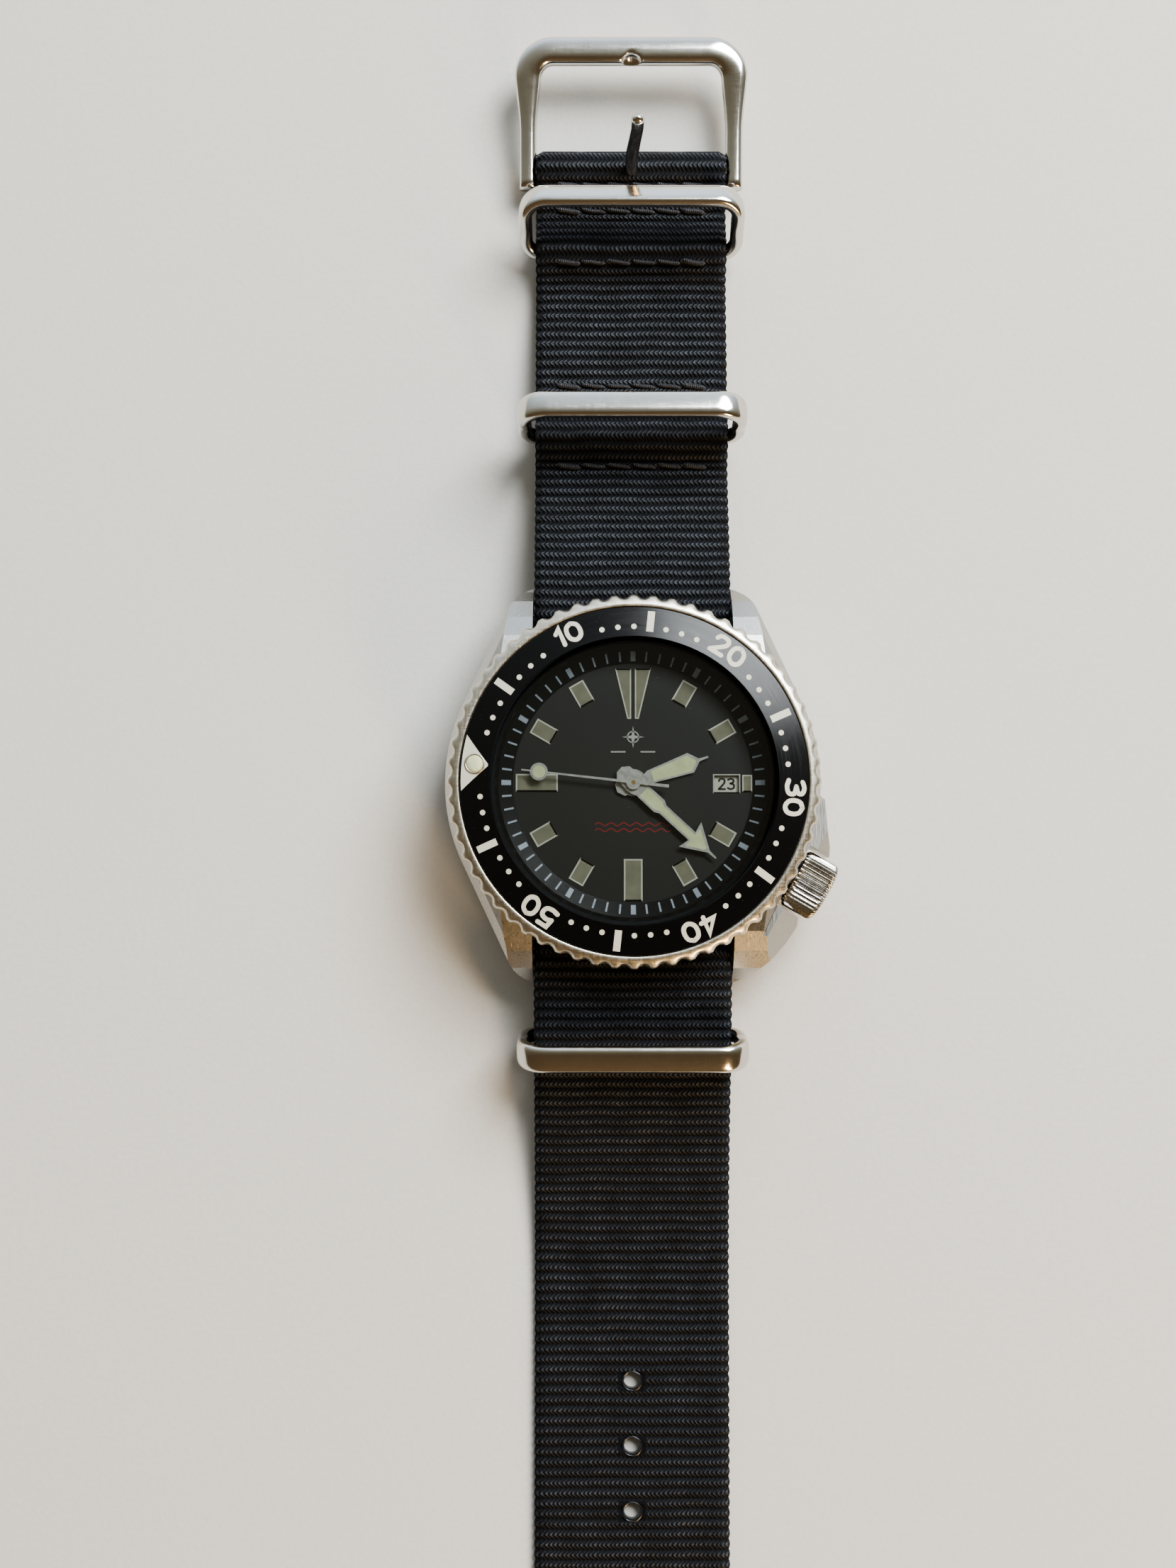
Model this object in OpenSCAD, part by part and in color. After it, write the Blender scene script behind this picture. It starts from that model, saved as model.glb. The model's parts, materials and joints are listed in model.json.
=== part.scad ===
// Automatic dive watch on a one-piece nylon pass-through strap.
// +Y points to 12 o'clock, +X to 3 o'clock, +Z from the wrist to the crystal.
// The origin is on the dial axis, on the plane that the underside of the strap rests on.

/* [Case] */
// Radius of the round part of the case
case_r = 21; // [20.6:0.1:21.4]
// Distance from lug tip to lug tip
lug_to_lug = 45; // [44.4:0.1:46]
// Gap between the two lugs of a pair
lug_gap = 22.4; // [22.3:0.05:22.6]
// Distance of the spring bars from the dial axis
bar_y = 19.4; // [19.3:0.05:19.5]
// Height of the spring bars above the resting plane
bar_z = 5.9; // [5.8:0.05:6]
// Radius of the spring bar tubes
bar_r = 0.95; // [0.8:0.05:0.95]

/* [Bezel] */
// Radius over the bezel's coin edge
bezel_r = 20.5; // [20.3:0.1:20.8]
// Number of scallops round the coin edge
bezel_teeth = 60; // [48:4:72]
// How far the bezel is turned from its zero, anticlockwise, in degrees
bezel_turned = 84; // [0:3:357]
// Outer radius of the black insert
insert_r = 19; // [18.9:0.05:19]
// Inner radius of the black insert
insert_hole_r = 15.75; // [15.7:0.05:15.8]

/* [Crown] */
// Direction of the crown from the dial axis, in degrees from 3 o'clock
crown_angle = -30; // [-32:1:-28]
// Height of the crown's axis above the resting plane
crown_z = 7.7; // [7.7:0.01:7.7]
// Radius of the crown
crown_r = 3.4; // [3:0.1:3.5]
// Number of grooves in the crown's grip
crown_grooves = 36; // [30:2:40]

/* [Time shown] */
// Angle of the hour hand, clockwise from 12 o'clock
hour_angle = 71; // [0:1:360]
// Angle of the minute hand, clockwise from 12 o'clock
minute_angle = 132.6; // [0:0.1:360]
// Angle of the seconds hand, clockwise from 12 o'clock
second_angle = 276.4; // [0:0.1:360]

/* [Strap] */
// Width of the webbing
strap_w = 22.2; // [20:0.1:22.2]
// Thickness of one layer of webbing
strap_t = 1.3; // [1.2:0.05:1.3]
// Distance of the strap's tip from the dial axis
tip_y = 156; // [150:1:165]
// Number of buckle holes
holes = 10; // [6:1:10]
// Distance of the first buckle hole from the dial axis
first_hole_y = 67.7; // [66:0.1:70]
// Distance between buckle holes
hole_pitch = 7.3; // [7:0.1:7.4]
// Radius of a buckle hole
hole_r = 1.1; // [0.9:0.1:1.3]

/* [Buckle and keepers] */
// Outer width of the buckle and of the keepers
ring_w = 26; // [25.8:0.1:26.4]
// Distance between the two long bars of a keeper
keeper_h = 8; // [7.8:0.1:8.2]
// Width of a keeper's front bar, along the strap
keeper_band = 3.1; // [2.6:0.1:3.2]
// Lean of the keeper by the buckle, towards the buckle, in degrees
lean_1 = 33; // [30:1:38]
// Lean of the keeper in the middle of the short end
lean_2 = 13; // [10:1:20]
// Lean of the keeper on the under strip, towards the tail
lean_3 = 16; // [14:1:26]
// How far the tongue is raised from lying flat on the buckle, in degrees
tongue_raised = 70; // [66:1:85]

/* [Hidden] */
$fn = 64;
slack = 0.05;      // gap between two pieces that lie against each other

// Heights of the case and what is in it
back_z = 2 * strap_t + 0.1;
back_in_z = 3.5;
shoulder_z = 11.3;
collar_z = 13.6;
collar_r = 17;
gap_y = 17;        // where the case wall stands between the lugs
dial_z = 9.2;
dial_top = 9.6;
back_r = 15.4;
cavity_r = 14.4;
rehaut_r = 15.55;
crystal_seat_r = 16.15;
lug_corner_r = 4;
lug_corner = [10.1, lug_to_lug / 2 - lug_corner_r];
crown_in = 20.7;   // inner end of the crown, along its axis
crown_len = 4.2;

// Heights of the movement, from the back to the dial
rotor_z = 3.75;
bridge_z = 5.05;
train_z = 5.6;
plate_z = 7.2;
plate_top = 8.2;
plate_r = 13.5;

// Places of the train, from the dial axis
third_at = 4.5 * [cos(210), sin(210)];
escape_at = 4.68 * [cos(290), sin(290)];
barrel_at = 6.51 * [cos(60), sin(60)];
balance_at = 8.6 * [cos(305), sin(305)];
balance_r = 3.6;
pallet_at = [3.65, -4.7];
minute_at = 2.88 * [cos(150), sin(150)];

// Where the strap and its metal parts lie
buckle_y = 72;
buckle_z = 2.65;
buckle_bar_r = 0.9;
keeper_r = 0.8;
keeper_1 = [62.3, 2.25];
keeper_2 = [40.3, 3.55];
keeper_3 = [-28.3, 2.2];
fold_y = 50;       // where the short end bends between its keepers
fold_z = 2.1;
tail_folds = [-42, -68, -96];
arm_in = ring_w / 2 - 1.8;

function arc(c, r, a0, a1, n = 8) =
    [for (i = [0 : n]) let (a = a0 + (a1 - a0) * i / n) c + r * [cos(a), sin(a)]];
function flip_x(p) = [for (i = [len(p) - 1 : -1 : 0]) [-p[i][0], p[i][1]]];
function flip_y(p) = [for (i = [len(p) - 1 : -1 : 0]) [p[i][0], -p[i][1]]];
// A half outline, given on its +Y side from tail to tip, closed by its mirror image.
function both_sides(p) = concat(p, flip_y(p));

module ring(r_out, r_in, h) {
    difference() {
        cylinder(r = r_out, h = h);
        translate([0, 0, -1]) cylinder(r = r_in, h = h + 2);
    }
}

// Local +Z runs outwards along the crown's axis.
module along_crown() {
    translate([0, 0, crown_z]) rotate([0, 0, crown_angle]) rotate([0, 90, 0]) children();
}

// A drawing on a hand, pointing along +X, laid at its clock angle.
module at_clock(a, z) {
    translate([0, 0, z]) rotate([0, 0, 90 - a]) children();
}

// ---------------------------------------------------------------- gears

// Outline of a wheel with n teeth of module m; one tooth points along angle a.
function gear_points(n, m, a) =
    let (p = 360 / n, root = m * (n / 2 - 1.15), pitch = m * n / 2, tip = m * (n / 2 + 0.85))
    [for (i = [0 : n - 1], k = [[root, -0.28], [pitch, -0.2], [tip, -0.09], [tip, 0.09],
                                [pitch, 0.2], [root, 0.28]])
        k[0] * [cos(a + (i + k[1]) * p), sin(a + (i + k[1]) * p)]];

module gear(n, m, h, a = 0) {
    linear_extrude(h) polygon(gear_points(n, m, a));
}

// A thin wheel whose web has round lightening holes.
module spoked_gear(n, m, h, a = 0, holes = 5) {
    r = m * n / 2;
    difference() {
        gear(n, m, h, a);
        for (i = [0 : holes - 1])
            rotate([0, 0, a + (i + 0.5) * 360 / holes])
                translate([r * 0.56, 0, -1]) cylinder(r = r * 0.24, h = h + 2, $fn = 24);
    }
}

module at(p, z) {
    translate([p[0], p[1], z]) children();
}

function angle_of(p) = atan2(p[1], p[0]);
// Angle that puts a gap of an n-tooth wheel at direction a.
function gap_at(a, n) = a - 180 / n;

// ---------------------------------------------------------------- case

function case_plan(d) =
    let (far = norm(lug_corner),
         t = atan2(lug_corner[1], lug_corner[0]) - acos((case_r - lug_corner_r) / far),
         q = concat(arc([0, 0], case_r - d, 0, t, 8), arc(lug_corner, lug_corner_r - d, t, 90, 8)),
         top = concat(q, flip_x(q)),
         bottom = flip_y(top))
    concat(top, [for (i = [1 : len(bottom) - 2]) bottom[i]]);

// Crown guard: a small hook above the crown, and a fuller one below it that runs down into the lug.
module guard() {
    rotate([0, 0, crown_angle])
        difference() {
            intersection() {
                translate([0, 0, 4]) linear_extrude(6.2)
                    polygon([[14, 9.6], [19.3, 9], [21.3, 6.2], [22.6, 4.7], [23.1, 3.8], [23.5, -3.8],
                             [23.9, -4.7], [23.7, -7], [23.2, -9.2], [22.4, -11.4], [18, -11.4], [14, -9.6]]);
                translate([0, 15, 0]) rotate([90, 0, 0]) linear_extrude(30)
                    polygon([[13, 3.9], [22.4, 3.9], [24, 5.2], [24, 7.4], [21.3, 10.2], [13, 10.2]]);
            }
            translate([crown_in - 0.25, -crown_r - 0.35, 0]) cube([10, 2 * crown_r + 0.7, 20]);
        }
}

// A closed skin over a stack of [height, outline] sections, all with the same number of points.
module stacked(sections) {
    n = len(sections[0][1]);
    k = len(sections);
    polyhedron(
        points = [for (s = sections, p = s[1]) [p[0], p[1], s[0]]],
        faces = concat([[for (i = [0 : n - 1]) i]],
                       [[for (i = [n - 1 : -1 : 0]) (k - 1) * n + i]],
                       [for (j = [0 : k - 2], i = [0 : n - 1]) let (m = (i + 1) % n)
                           [j * n + i, (j + 1) * n + i, (j + 1) * n + m]],
                       [for (j = [0 : k - 2], i = [0 : n - 1]) let (m = (i + 1) % n)
                           [j * n + i, (j + 1) * n + m, j * n + m]]));
}

module case_blank() {
    stacked([for (s = [[3, 1.5], [3.7, 0.5], [4.8, 0], [8.4, 0], [10.4, 0.9], [shoulder_z, 1.9]])
        [s[0], case_plan(s[1])]]);
    guard();
}

// What lies above the lugs' falling upper faces, seen from the side.
module above_lugs() {
    tip = lug_to_lug / 2;
    fall = [[13.6, 0], [16.4, -0.8], [18.6, -2], [20.6, -3.6], [tip - 0.6, -5.5], [tip + 2, -8]];
    for (s = [0, 1]) mirror([0, s, 0])
        translate([-30, 0, 0]) rotate([90, 0, 90])
            linear_extrude(60)
                polygon(concat([for (p = fall) [p[0], shoulder_z + p[1]]], [[tip + 2, 20], [13.6, 20]]));
}

module mid_case() color("silver")
    difference() {
        union() {
            difference() {
                case_blank();
                above_lugs();
            }
            translate([0, 0, shoulder_z - 0.5]) cylinder(r = collar_r, h = collar_z - shoulder_z + 0.5);
        }
        translate([0, 0, -1]) cylinder(r = back_r, h = 6.65);
        cylinder(r = cavity_r, h = 20);
        translate([0, 0, dial_top]) cylinder(r = rehaut_r, h = 20);
        translate([0, 0, 11.8]) cylinder(r = crystal_seat_r, h = 20);
        for (s = [-1, 1]) translate([-lug_gap / 2, s * (gap_y + 5) - 5, -1]) cube([lug_gap, 10, 30]);
        translate([-30, -gap_y, -1]) cube([60, 2 * gap_y, 4.6]);
        for (s = [-1, 1]) translate([-lug_gap / 2 - 1.2, s * bar_y, bar_z])
            rotate([0, 90, 0]) cylinder(r = 0.45, h = lug_gap + 2.4);
        along_crown() translate([0, 0, 10]) cylinder(r = 1.5 + slack, h = 20);
        along_crown() translate([0, 0, crown_in - 0.25]) cylinder(r = crown_r + 0.35, h = 10);
        translate([-18.75, -3, shoulder_z - 0.4]) cube([1.2, 6, 3]);
    }

module crown_tube() color("gainsboro")
    along_crown() translate([0, 0, cavity_r + 0.3]) ring(1.5, 0.55, 7.4);

module case_back() color("lightsteelblue")
    difference() {
        union() {
            translate([0, 0, back_z]) cylinder(r1 = back_r + 0.2, r2 = back_r + 0.6, h = 0.4);
            translate([0, 0, back_z + 0.4]) cylinder(r = back_r + 0.6, h = 0.4);
            translate([0, 0, back_in_z]) cylinder(r = back_r - slack, h = 1.7);
        }
        translate([0, 0, back_in_z]) cylinder(r = 14.6, h = 5);
        for (a = [0 : 60 : 300]) rotate([0, 0, a + 30])
            translate([14.4, -1.25, back_z - 1]) cube([3, 2.5, 1.45]);
        translate([0, 0, back_z - 1]) ring(11.6, 11.2, 1.15);
    }

module case_back_gasket() color("dimgray")
    translate([0, 0, back_in_z + 1.75]) ring(back_r - 0.05, 14.65, 0.35);

module crystal() color("lightcyan", 0.4)
    rotate_extrude($fn = 128) polygon([[0, 12], [15.3, 12], [15.6, 12.2], [15.6, 14.2], [15.25, 14.5], [0, 14.5]]);

module crystal_gasket() color("dimgray")
    translate([0, 0, 11.85])
        difference() {
            cylinder(r = crystal_seat_r - 0.03, h = collar_z - 11.85);
            translate([0, 0, 0.12]) cylinder(r = 15.63, h = 5);
            translate([0, 0, -1]) cylinder(r = 15.35, h = 5);
        }

module chapter_ring() color("midnightblue")
    rotate_extrude($fn = 128)
        polygon([[13.35, dial_top + 0.03], [rehaut_r - 0.05, dial_top + 0.03], [rehaut_r - 0.05, 11.7],
                 [15.25, 11.7], [14.95, 10.45], [13.35, dial_top + 0.2]]);

// ---------------------------------------------------------------- dial

marker_w = 1.65;
marker_len = 2.45;
marker_r = 11.45;
window = [10.4, -0.1];
window_size = [2.8, 1.9];

module dial() color("black")
    difference() {
        translate([0, 0, dial_z]) cylinder(r = 14.2, h = dial_top - dial_z, $fn = 128);
        cylinder(r = 1.3, h = 30);
        translate([window[0] - window_size[0] / 2, window[1] - window_size[1] / 2, 0])
            cube([window_size[0], window_size[1], 30]);
    }

// Square plots at the hours, long ones at 6 and 9, a split triangle at 12.
module hour_markers() color("darkkhaki")
    translate([0, 0, dial_top]) linear_extrude(0.12) {
        for (h = [1, 2, 4, 5, 7, 8, 10, 11]) rotate(-30 * h)
            translate([-marker_w / 2, marker_r - marker_len / 2]) square([marker_w, marker_len]);
        translate([-0.95, -13.05]) square([1.9, 4.5]);
        translate([-12.95, -0.9]) square([4.5, 1.8]);
        translate([12.2, -0.95]) square([0.95, 1.75]);
        for (s = [-1, 1])
            polygon([[s * 0.28, 12.65], [s * 1.9, 12.65], [s * 0.58, 7.2], [s * 0.28, 7.2]]);
    }

// ---------------------------------------------------------------- movement, fixed parts

module movement_ring() color("whitesmoke")
    difference() {
        translate([0, 0, 5.75]) ring(cavity_r - slack, plate_r + slack, dial_z - 5.8);
        along_crown() translate([0, 0, 10]) cylinder(r = 0.9, h = 6);
    }

module main_plate() color("goldenrod")
    difference() {
        translate([0, 0, plate_z]) cylinder(r = plate_r, h = plate_top - plate_z);
        cylinder(r = 0.62, h = 20);
        at(third_at, 0) cylinder(r = 0.42, h = 20);
        at(escape_at, 0) cylinder(r = 0.42, h = 20);
        at(balance_at, 0) cylinder(r = 0.42, h = 20);
        at(pallet_at, 0) cylinder(r = 0.32, h = 20);
        at(barrel_at, 0) cylinder(r = 0.55, h = 20);
        at(minute_at, plate_top - 0.4) cylinder(r = 0.23, h = 2);
        rotate([0, 0, crown_angle]) translate([9, -1.1, plate_z - 1]) cube([2.6, 2.2, 3]);
        rotate([0, 0, crown_angle]) translate([6.8, -0.45, plate_z - 1]) cube([10, 0.9, 3]);
    }

module pillars(z, h, r) {
    for (a = [15, 112, 165, 252]) rotate([0, 0, a]) translate([12.4, 0, z]) cylinder(r = r, h = h, $fn = 32);
}

module train_bridge() color("silver")
    difference() {
        union() {
            translate([0, 0, bridge_z]) cylinder(r = 13.3, h = train_z - bridge_z);
            pillars(train_z - 0.3, plate_z - train_z + 0.3, 0.85);
            translate([0, 0, 4]) cylinder(r = 0.9, h = bridge_z - 4);
        }
        at(balance_at, 0) cylinder(r = balance_r, h = train_z + 0.01);
        rotate([0, 0, 305]) translate([8.6, -1.5, 0]) cube([6, 3, train_z + 0.01]);
        translate([0, 0, train_z - 0.25]) cylinder(r = 0.33, h = 2);
        at(third_at, 0) cylinder(r = 0.42, h = 7);
        at(escape_at, 0) cylinder(r = 0.42, h = 7);
        at(barrel_at, 0) cylinder(r = 0.55, h = 7);
        pillars(bridge_z - 1, 1.3, 0.65);
    }

module balance_cock() color("silver")
    difference() {
        rotate([0, 0, 305]) {
            intersection() {
                translate([8.6, 0, bridge_z]) cylinder(r = balance_r - 0.1, h = train_z - bridge_z);
                translate([6.6, -1.4, 0]) cube([6, 2.8, 20]);
            }
            translate([11.5, -1.4, bridge_z]) cube([1.7, 2.8, train_z - bridge_z]);
            translate([12.4, -1.2, train_z - 0.1]) cube([0.8, 2.4, plate_z - train_z + 0.1]);
        }
        at(balance_at, 0) cylinder(r = 0.42, h = 7);
    }

// Ruby rings that the pivots turn in.
module jewels() color("crimson") {
    for (p = [third_at, escape_at, balance_at]) {
        at(p, bridge_z + 0.1) ring(0.41, 0.15, 0.4);
        at(p, plate_z + 0.1) ring(0.41, 0.15, 0.4);
    }
    at(pallet_at, plate_z + 0.1) ring(0.31, 0.12, 0.4);
}

module bridge_screws() color("steelblue")
    for (a = [15, 112, 165, 252]) rotate([0, 0, a]) translate([12.4, 0, bridge_z - 0.25])
        difference() {
            cylinder(r = 0.62, h = 0.5, $fn = 32);
            translate([-1, -0.08, -1]) cube([2, 0.16, 1.12]);
        }

function spiral(r0, r1, turns, w, n = 24) =
    let (k = turns * n, go = [for (i = [0 : k]) let (r = r0 + (r1 - r0) * i / k) [r, 360 * i / n]])
    concat([for (p = go) (p[0] - w / 2) * [cos(p[1]), sin(p[1])]],
           [for (i = [k : -1 : 0]) (go[i][0] + w / 2) * [cos(go[i][1]), sin(go[i][1])]]);

module hairspring() color("steelblue")
    at(balance_at, 5.74) linear_extrude(0.1) polygon(spiral(0.5, 2.6, 8, 0.05));

module click_spring() color("gainsboro")
    translate([-18.6, -2.9, shoulder_z - 0.38]) {
        cube([0.9, 5.8, 0.3]);
        translate([0.45, 2.9, 0.3]) cylinder(r1 = 0.4, r2 = 0.25, h = 0.19);
    }

module spring_bars() color("silver")
    for (s = [-1, 1]) translate([0, s * bar_y, bar_z]) rotate([0, 90, 0]) {
        translate([0, 0, -lug_gap / 2 + 0.15]) cylinder(r = bar_r, h = lug_gap - 0.3);
        translate([0, 0, -lug_gap / 2 - 1.1]) cylinder(r = 0.4, h = lug_gap + 2.2);
    }

// ---------------------------------------------------------------- bezel

bezel_low = 11.45;
scallop_r = 0.75;
scallop_depth = 0.33;

module bezel() color("silver")
    rotate([0, 0, 90 + bezel_turned])
        difference() {
            rotate_extrude($fn = 128)
                polygon([[15.85, 13.72], [collar_r + 0.1, 13.72], [collar_r + 0.1, bezel_low],
                         [bezel_r - 0.3, bezel_low], [bezel_r, bezel_low + 0.3], [bezel_r, 12.9],
                         [19.75, 14.2], [insert_r + 0.12, 14.28], [insert_r + 0.12, 13.38], [15.85, 13.97]]);
            for (i = [0 : bezel_teeth - 1]) rotate([0, 0, (i + 0.5) * 360 / bezel_teeth])
                translate([bezel_r + scallop_r - scallop_depth, 0, bezel_low - 1])
                    cylinder(r = scallop_r, h = 6, $fn = 32);
        }

pearl_r = 17.43;

module bezel_insert() color("black")
    rotate([0, 0, 90 + bezel_turned])
        difference() {
            rotate_extrude($fn = 128)
                polygon([[insert_hole_r, 14.03], [insert_r, 13.43], [insert_r, 14.13], [insert_hole_r, 14.73]]);
            translate([pearl_r, 0, 14.05]) cylinder(r = 0.97, h = 2);
        }

module bezel_pearl() color("beige")
    rotate([0, 0, 90 + bezel_turned]) translate([pearl_r, 0, 14.07]) {
        cylinder(r = 0.93, h = 0.3);
        translate([0, 0, 0.3]) cylinder(r1 = 0.93, r2 = 0.5, h = 0.12);
    }

// ---------------------------------------------------------------- crown and stem

module crown() color("silver")
    along_crown() translate([0, 0, crown_in])
        difference() {
            union() {
                cylinder(r = crown_r - 0.35, h = crown_len);
                translate([0, 0, 0.35]) linear_extrude(crown_len - 0.95)
                    polygon([for (i = [0 : crown_grooves * 4 - 1]) let (a = i * 90 / crown_grooves)
                        (i % 4 < 2 ? crown_r : crown_r - 0.22) * [cos(a), sin(a)]]);
            }
            translate([0, 0, -1]) cylinder(r = 1.9, h = 2.6);
            translate([0, 0, -1]) cylinder(r = 0.4, h = 3.2);
        }

module stem() color("gainsboro")
    along_crown() {
        translate([0, 0, 11]) cylinder(r = 0.4, h = crown_in + 2.18 - 11);
        translate([-0.2, -0.2, 7]) cube([0.4, 0.4, 4.1]);
    }

module crown_gasket() color("dimgray")
    along_crown() translate([0, 0, crown_in + 0.3]) ring(1.88, 1.55, 0.8);

// Slides on the stem's square and turns with it.
module clutch_wheel() color("goldenrod")
    along_crown() translate([0, 0, 9.2])
        difference() {
            cylinder(r = 0.8, h = 1.1, $fn = 48);
            translate([-0.23, -0.23, -1]) cube([0.46, 0.46, 4]);
        }

// ---------------------------------------------------------------- hands

tube_play = 0.03;

function hour_outline() =
    both_sides([[-2, 0.45], [-1.35, 1.1], [0.9, 0.95], [1.3, 0.42], [1.9, 0.75], [6.75, 1.15],
                [7.75, 0.16], [8.8, 0.1]]);
function hour_lume() = both_sides([[2.25, 0.58], [6.6, 0.92], [7.35, 0.15]]);
function minute_outline() =
    both_sides([[-2.1, 0.4], [-1.5, 1.05], [0.6, 1.1], [1.2, 0.85], [3.9, 0.88], [4.45, 0.58],
                [8.8, 0.58], [8.5, 1.85], [11.3, 0.16], [12.4, 0.09]]);
function minute_lume() =
    both_sides([[1.55, 0.64], [3.75, 0.64], [4.3, 0.36], [8.95, 0.36], [8.95, 1.24], [10.85, 0.14]]);

module hand(outline, lume, bore, h) {
    difference() {
        union() {
            linear_extrude(h) polygon(outline);
            cylinder(r = bore + 0.35, h = h, $fn = 48);
        }
        translate([0, 0, -1]) linear_extrude(h + 2) polygon(lume);
        translate([0, 0, -1]) cylinder(r = bore, h = h + 2, $fn = 48);
    }
}

module hour_hand() color("silver")
    at_clock(hour_angle, 9.95) hand(hour_outline(), hour_lume(), 1.15, 0.2);

module hour_hand_lume() color("palegoldenrod")
    at_clock(hour_angle, 9.97) linear_extrude(0.16) polygon(hour_lume());

module minute_hand() color("silver")
    at_clock(minute_angle, 10.45) hand(minute_outline(), minute_lume(), 0.8, 0.2);

module minute_hand_lume() color("palegoldenrod")
    at_clock(minute_angle, 10.47) linear_extrude(0.16) polygon(minute_lume());

module second_hand() color("silver")
    at_clock(second_angle, 10.95) {
        difference() {
            union() {
                cylinder(r = 0.8, h = 0.14, $fn = 48);
                linear_extrude(0.14) polygon([[-3.95, 0.17], [12.45, 0.08], [12.45, -0.08], [-3.95, -0.17]]);
                translate([10.5, 0, 0]) cylinder(r = 0.98, h = 0.14, $fn = 48);
            }
            translate([10.5, 0, -1]) cylinder(r = 0.7, h = 3, $fn = 48);
            translate([0, 0, -1]) cylinder(r = 0.25, h = 3, $fn = 48);
        }
    }

module second_hand_lume() color("palegoldenrod")
    at_clock(second_angle, 10.96) translate([10.5, 0]) cylinder(r = 0.7, h = 0.12, $fn = 48);

// ---------------------------------------------------------------- wheels

// Seconds wheel and pinion; its long pivot carries the seconds hand.
module fourth_wheel() color("gold") {
    translate([0, 0, 5.75]) spoked_gear(72, 0.12, 0.13, angle_of(escape_at));
    translate([0, 0, 5.88]) gear(8, 0.13235, 0.72, angle_of(third_at));
    translate([0, 0, 6.6]) cylinder(r = 0.25, h = 4.49, $fn = 48);
    translate([0, 0, train_z - 0.23]) cylinder(r = 0.3, h = 0.38, $fn = 48);
}

// Hollow centre arbor with its pinion and wheel; the cannon pinion slips on its top.
module centre_wheel() color("gold")
    difference() {
        union() {
            translate([0, 0, 6.68]) gear(12, 0.155, 0.3, gap_at(angle_of(barrel_at), 12));
            translate([0, 0, 6.98]) spoked_gear(64, 0.125, 0.14, angle_of(third_at));
            translate([0, 0, 6.9]) cylinder(r = 0.59, h = 1.35, $fn = 48);
            translate([0, 0, 8.2]) cylinder(r = 0.44, h = 1.8, $fn = 48);
        }
        cylinder(r = 0.25 + tube_play, h = 20, $fn = 48);
    }

module cannon_pinion() color("gold")
    difference() {
        union() {
            translate([0, 0, 8.3]) gear(12, 0.12, 0.45, angle_of(minute_at));
            translate([0, 0, 8.7]) cylinder(r = 0.8, h = 1.95, $fn = 48);
        }
        cylinder(r = 0.44 + tube_play, h = 20, $fn = 48);
    }

module hour_wheel() color("gold")
    difference() {
        union() {
            translate([0, 0, 8.8]) gear(40, 0.1152, 0.12, angle_of(minute_at));
            translate([0, 0, 8.8]) cylinder(r = 1.15, h = 1.35, $fn = 48);
        }
        translate([0, 0, 5]) cylinder(r = 0.8 + tube_play, h = 20, $fn = 48);
    }

module minute_wheel() color("gold")
    at(minute_at, 0) {
        translate([0, 0, 8.4]) gear(36, 0.12, 0.15, gap_at(angle_of(minute_at) + 180, 36));
        translate([0, 0, 8.55]) gear(10, 0.1152, 0.4, gap_at(angle_of(minute_at) + 180, 10));
        translate([0, 0, plate_top - 0.38]) cylinder(r = 0.2, h = 0.6, $fn = 32);
    }

module pivots(z0, z1, r = 0.12) {
    translate([0, 0, z0]) cylinder(r = r, h = z1 - z0, $fn = 32);
}

module third_wheel() color("gold")
    at(third_at, 0) {
        translate([0, 0, 6.3]) spoked_gear(60, 0.13235, 0.15, gap_at(angle_of(third_at) + 180, 60));
        translate([0, 0, 6.45]) gear(8, 0.125, 0.68, gap_at(angle_of(third_at) + 180, 8));
        pivots(bridge_z + 0.15, plate_z + 0.45);
        pivots(5.7, 7.1, 0.2);
    }

function escape_points(n, r) =
    [for (i = [0 : n - 1], k = [[r * 0.8, 0], [r * 0.8, 0.45], [r, 0.95], [r * 0.97, 1.0]])
        k[0] * [cos((i + k[1]) * 360 / n), sin((i + k[1]) * 360 / n)]];

module escape_wheel() color("silver")
    at(escape_at, 0) {
        translate([0, 0, 5.72]) gear(6, 0.12, 0.28, gap_at(angle_of(escape_at) + 180, 6));
        translate([0, 0, 6.75]) linear_extrude(0.13) polygon(escape_points(15, 1.5));
        pivots(bridge_z + 0.15, plate_z + 0.45);
        pivots(5.7, 7.1, 0.18);
    }

module barrel() color("goldenrod")
    at(barrel_at, 0)
        difference() {
            union() {
                translate([0, 0, 6]) cylinder(r = 5.3, h = 0.95);
                translate([0, 0, 6.72]) gear(72, 0.155, 0.2, angle_of(barrel_at) + 180);
                pivots(bridge_z + 0.1, plate_z + 0.6, 0.5);
            }
            translate([0, 0, 6.12]) ring(5.1, 0.9, 0.7);
        }

module mainspring() color("slategray")
    at(barrel_at, 6.16) linear_extrude(0.6) polygon(spiral(1.3, 4.7, 9, 0.14));

// Lever with its two stones, held clear of the escape wheel's teeth.
module pallet_fork() color("silver")
    at(pallet_at, 0) {
        toward = atan2(escape_at[1] - pallet_at[1], escape_at[0] - pallet_at[0]);
        translate([0, 0, 6.75]) cylinder(r = 0.3, h = 0.14, $fn = 32);
        translate([0, 0, 6.75]) rotate([0, 0, toward]) linear_extrude(0.14)
            polygon([[-0.2, -1.4], [0.15, -1.5], [0.25, 0], [0.15, 1.5], [-0.2, 1.4], [-0.2, 0]]);
        translate([0, 0, 6.75]) rotate([0, 0, -61]) linear_extrude(0.14)
            polygon([[0, -0.15], [1.35, -0.1], [1.9, -0.4], [1.9, -0.22], [1.6, 0], [1.9, 0.22], [1.9, 0.4],
                     [1.35, 0.1], [0, 0.15]]);
        pivots(6.55, plate_z + 0.45, 0.1);
    }

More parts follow.
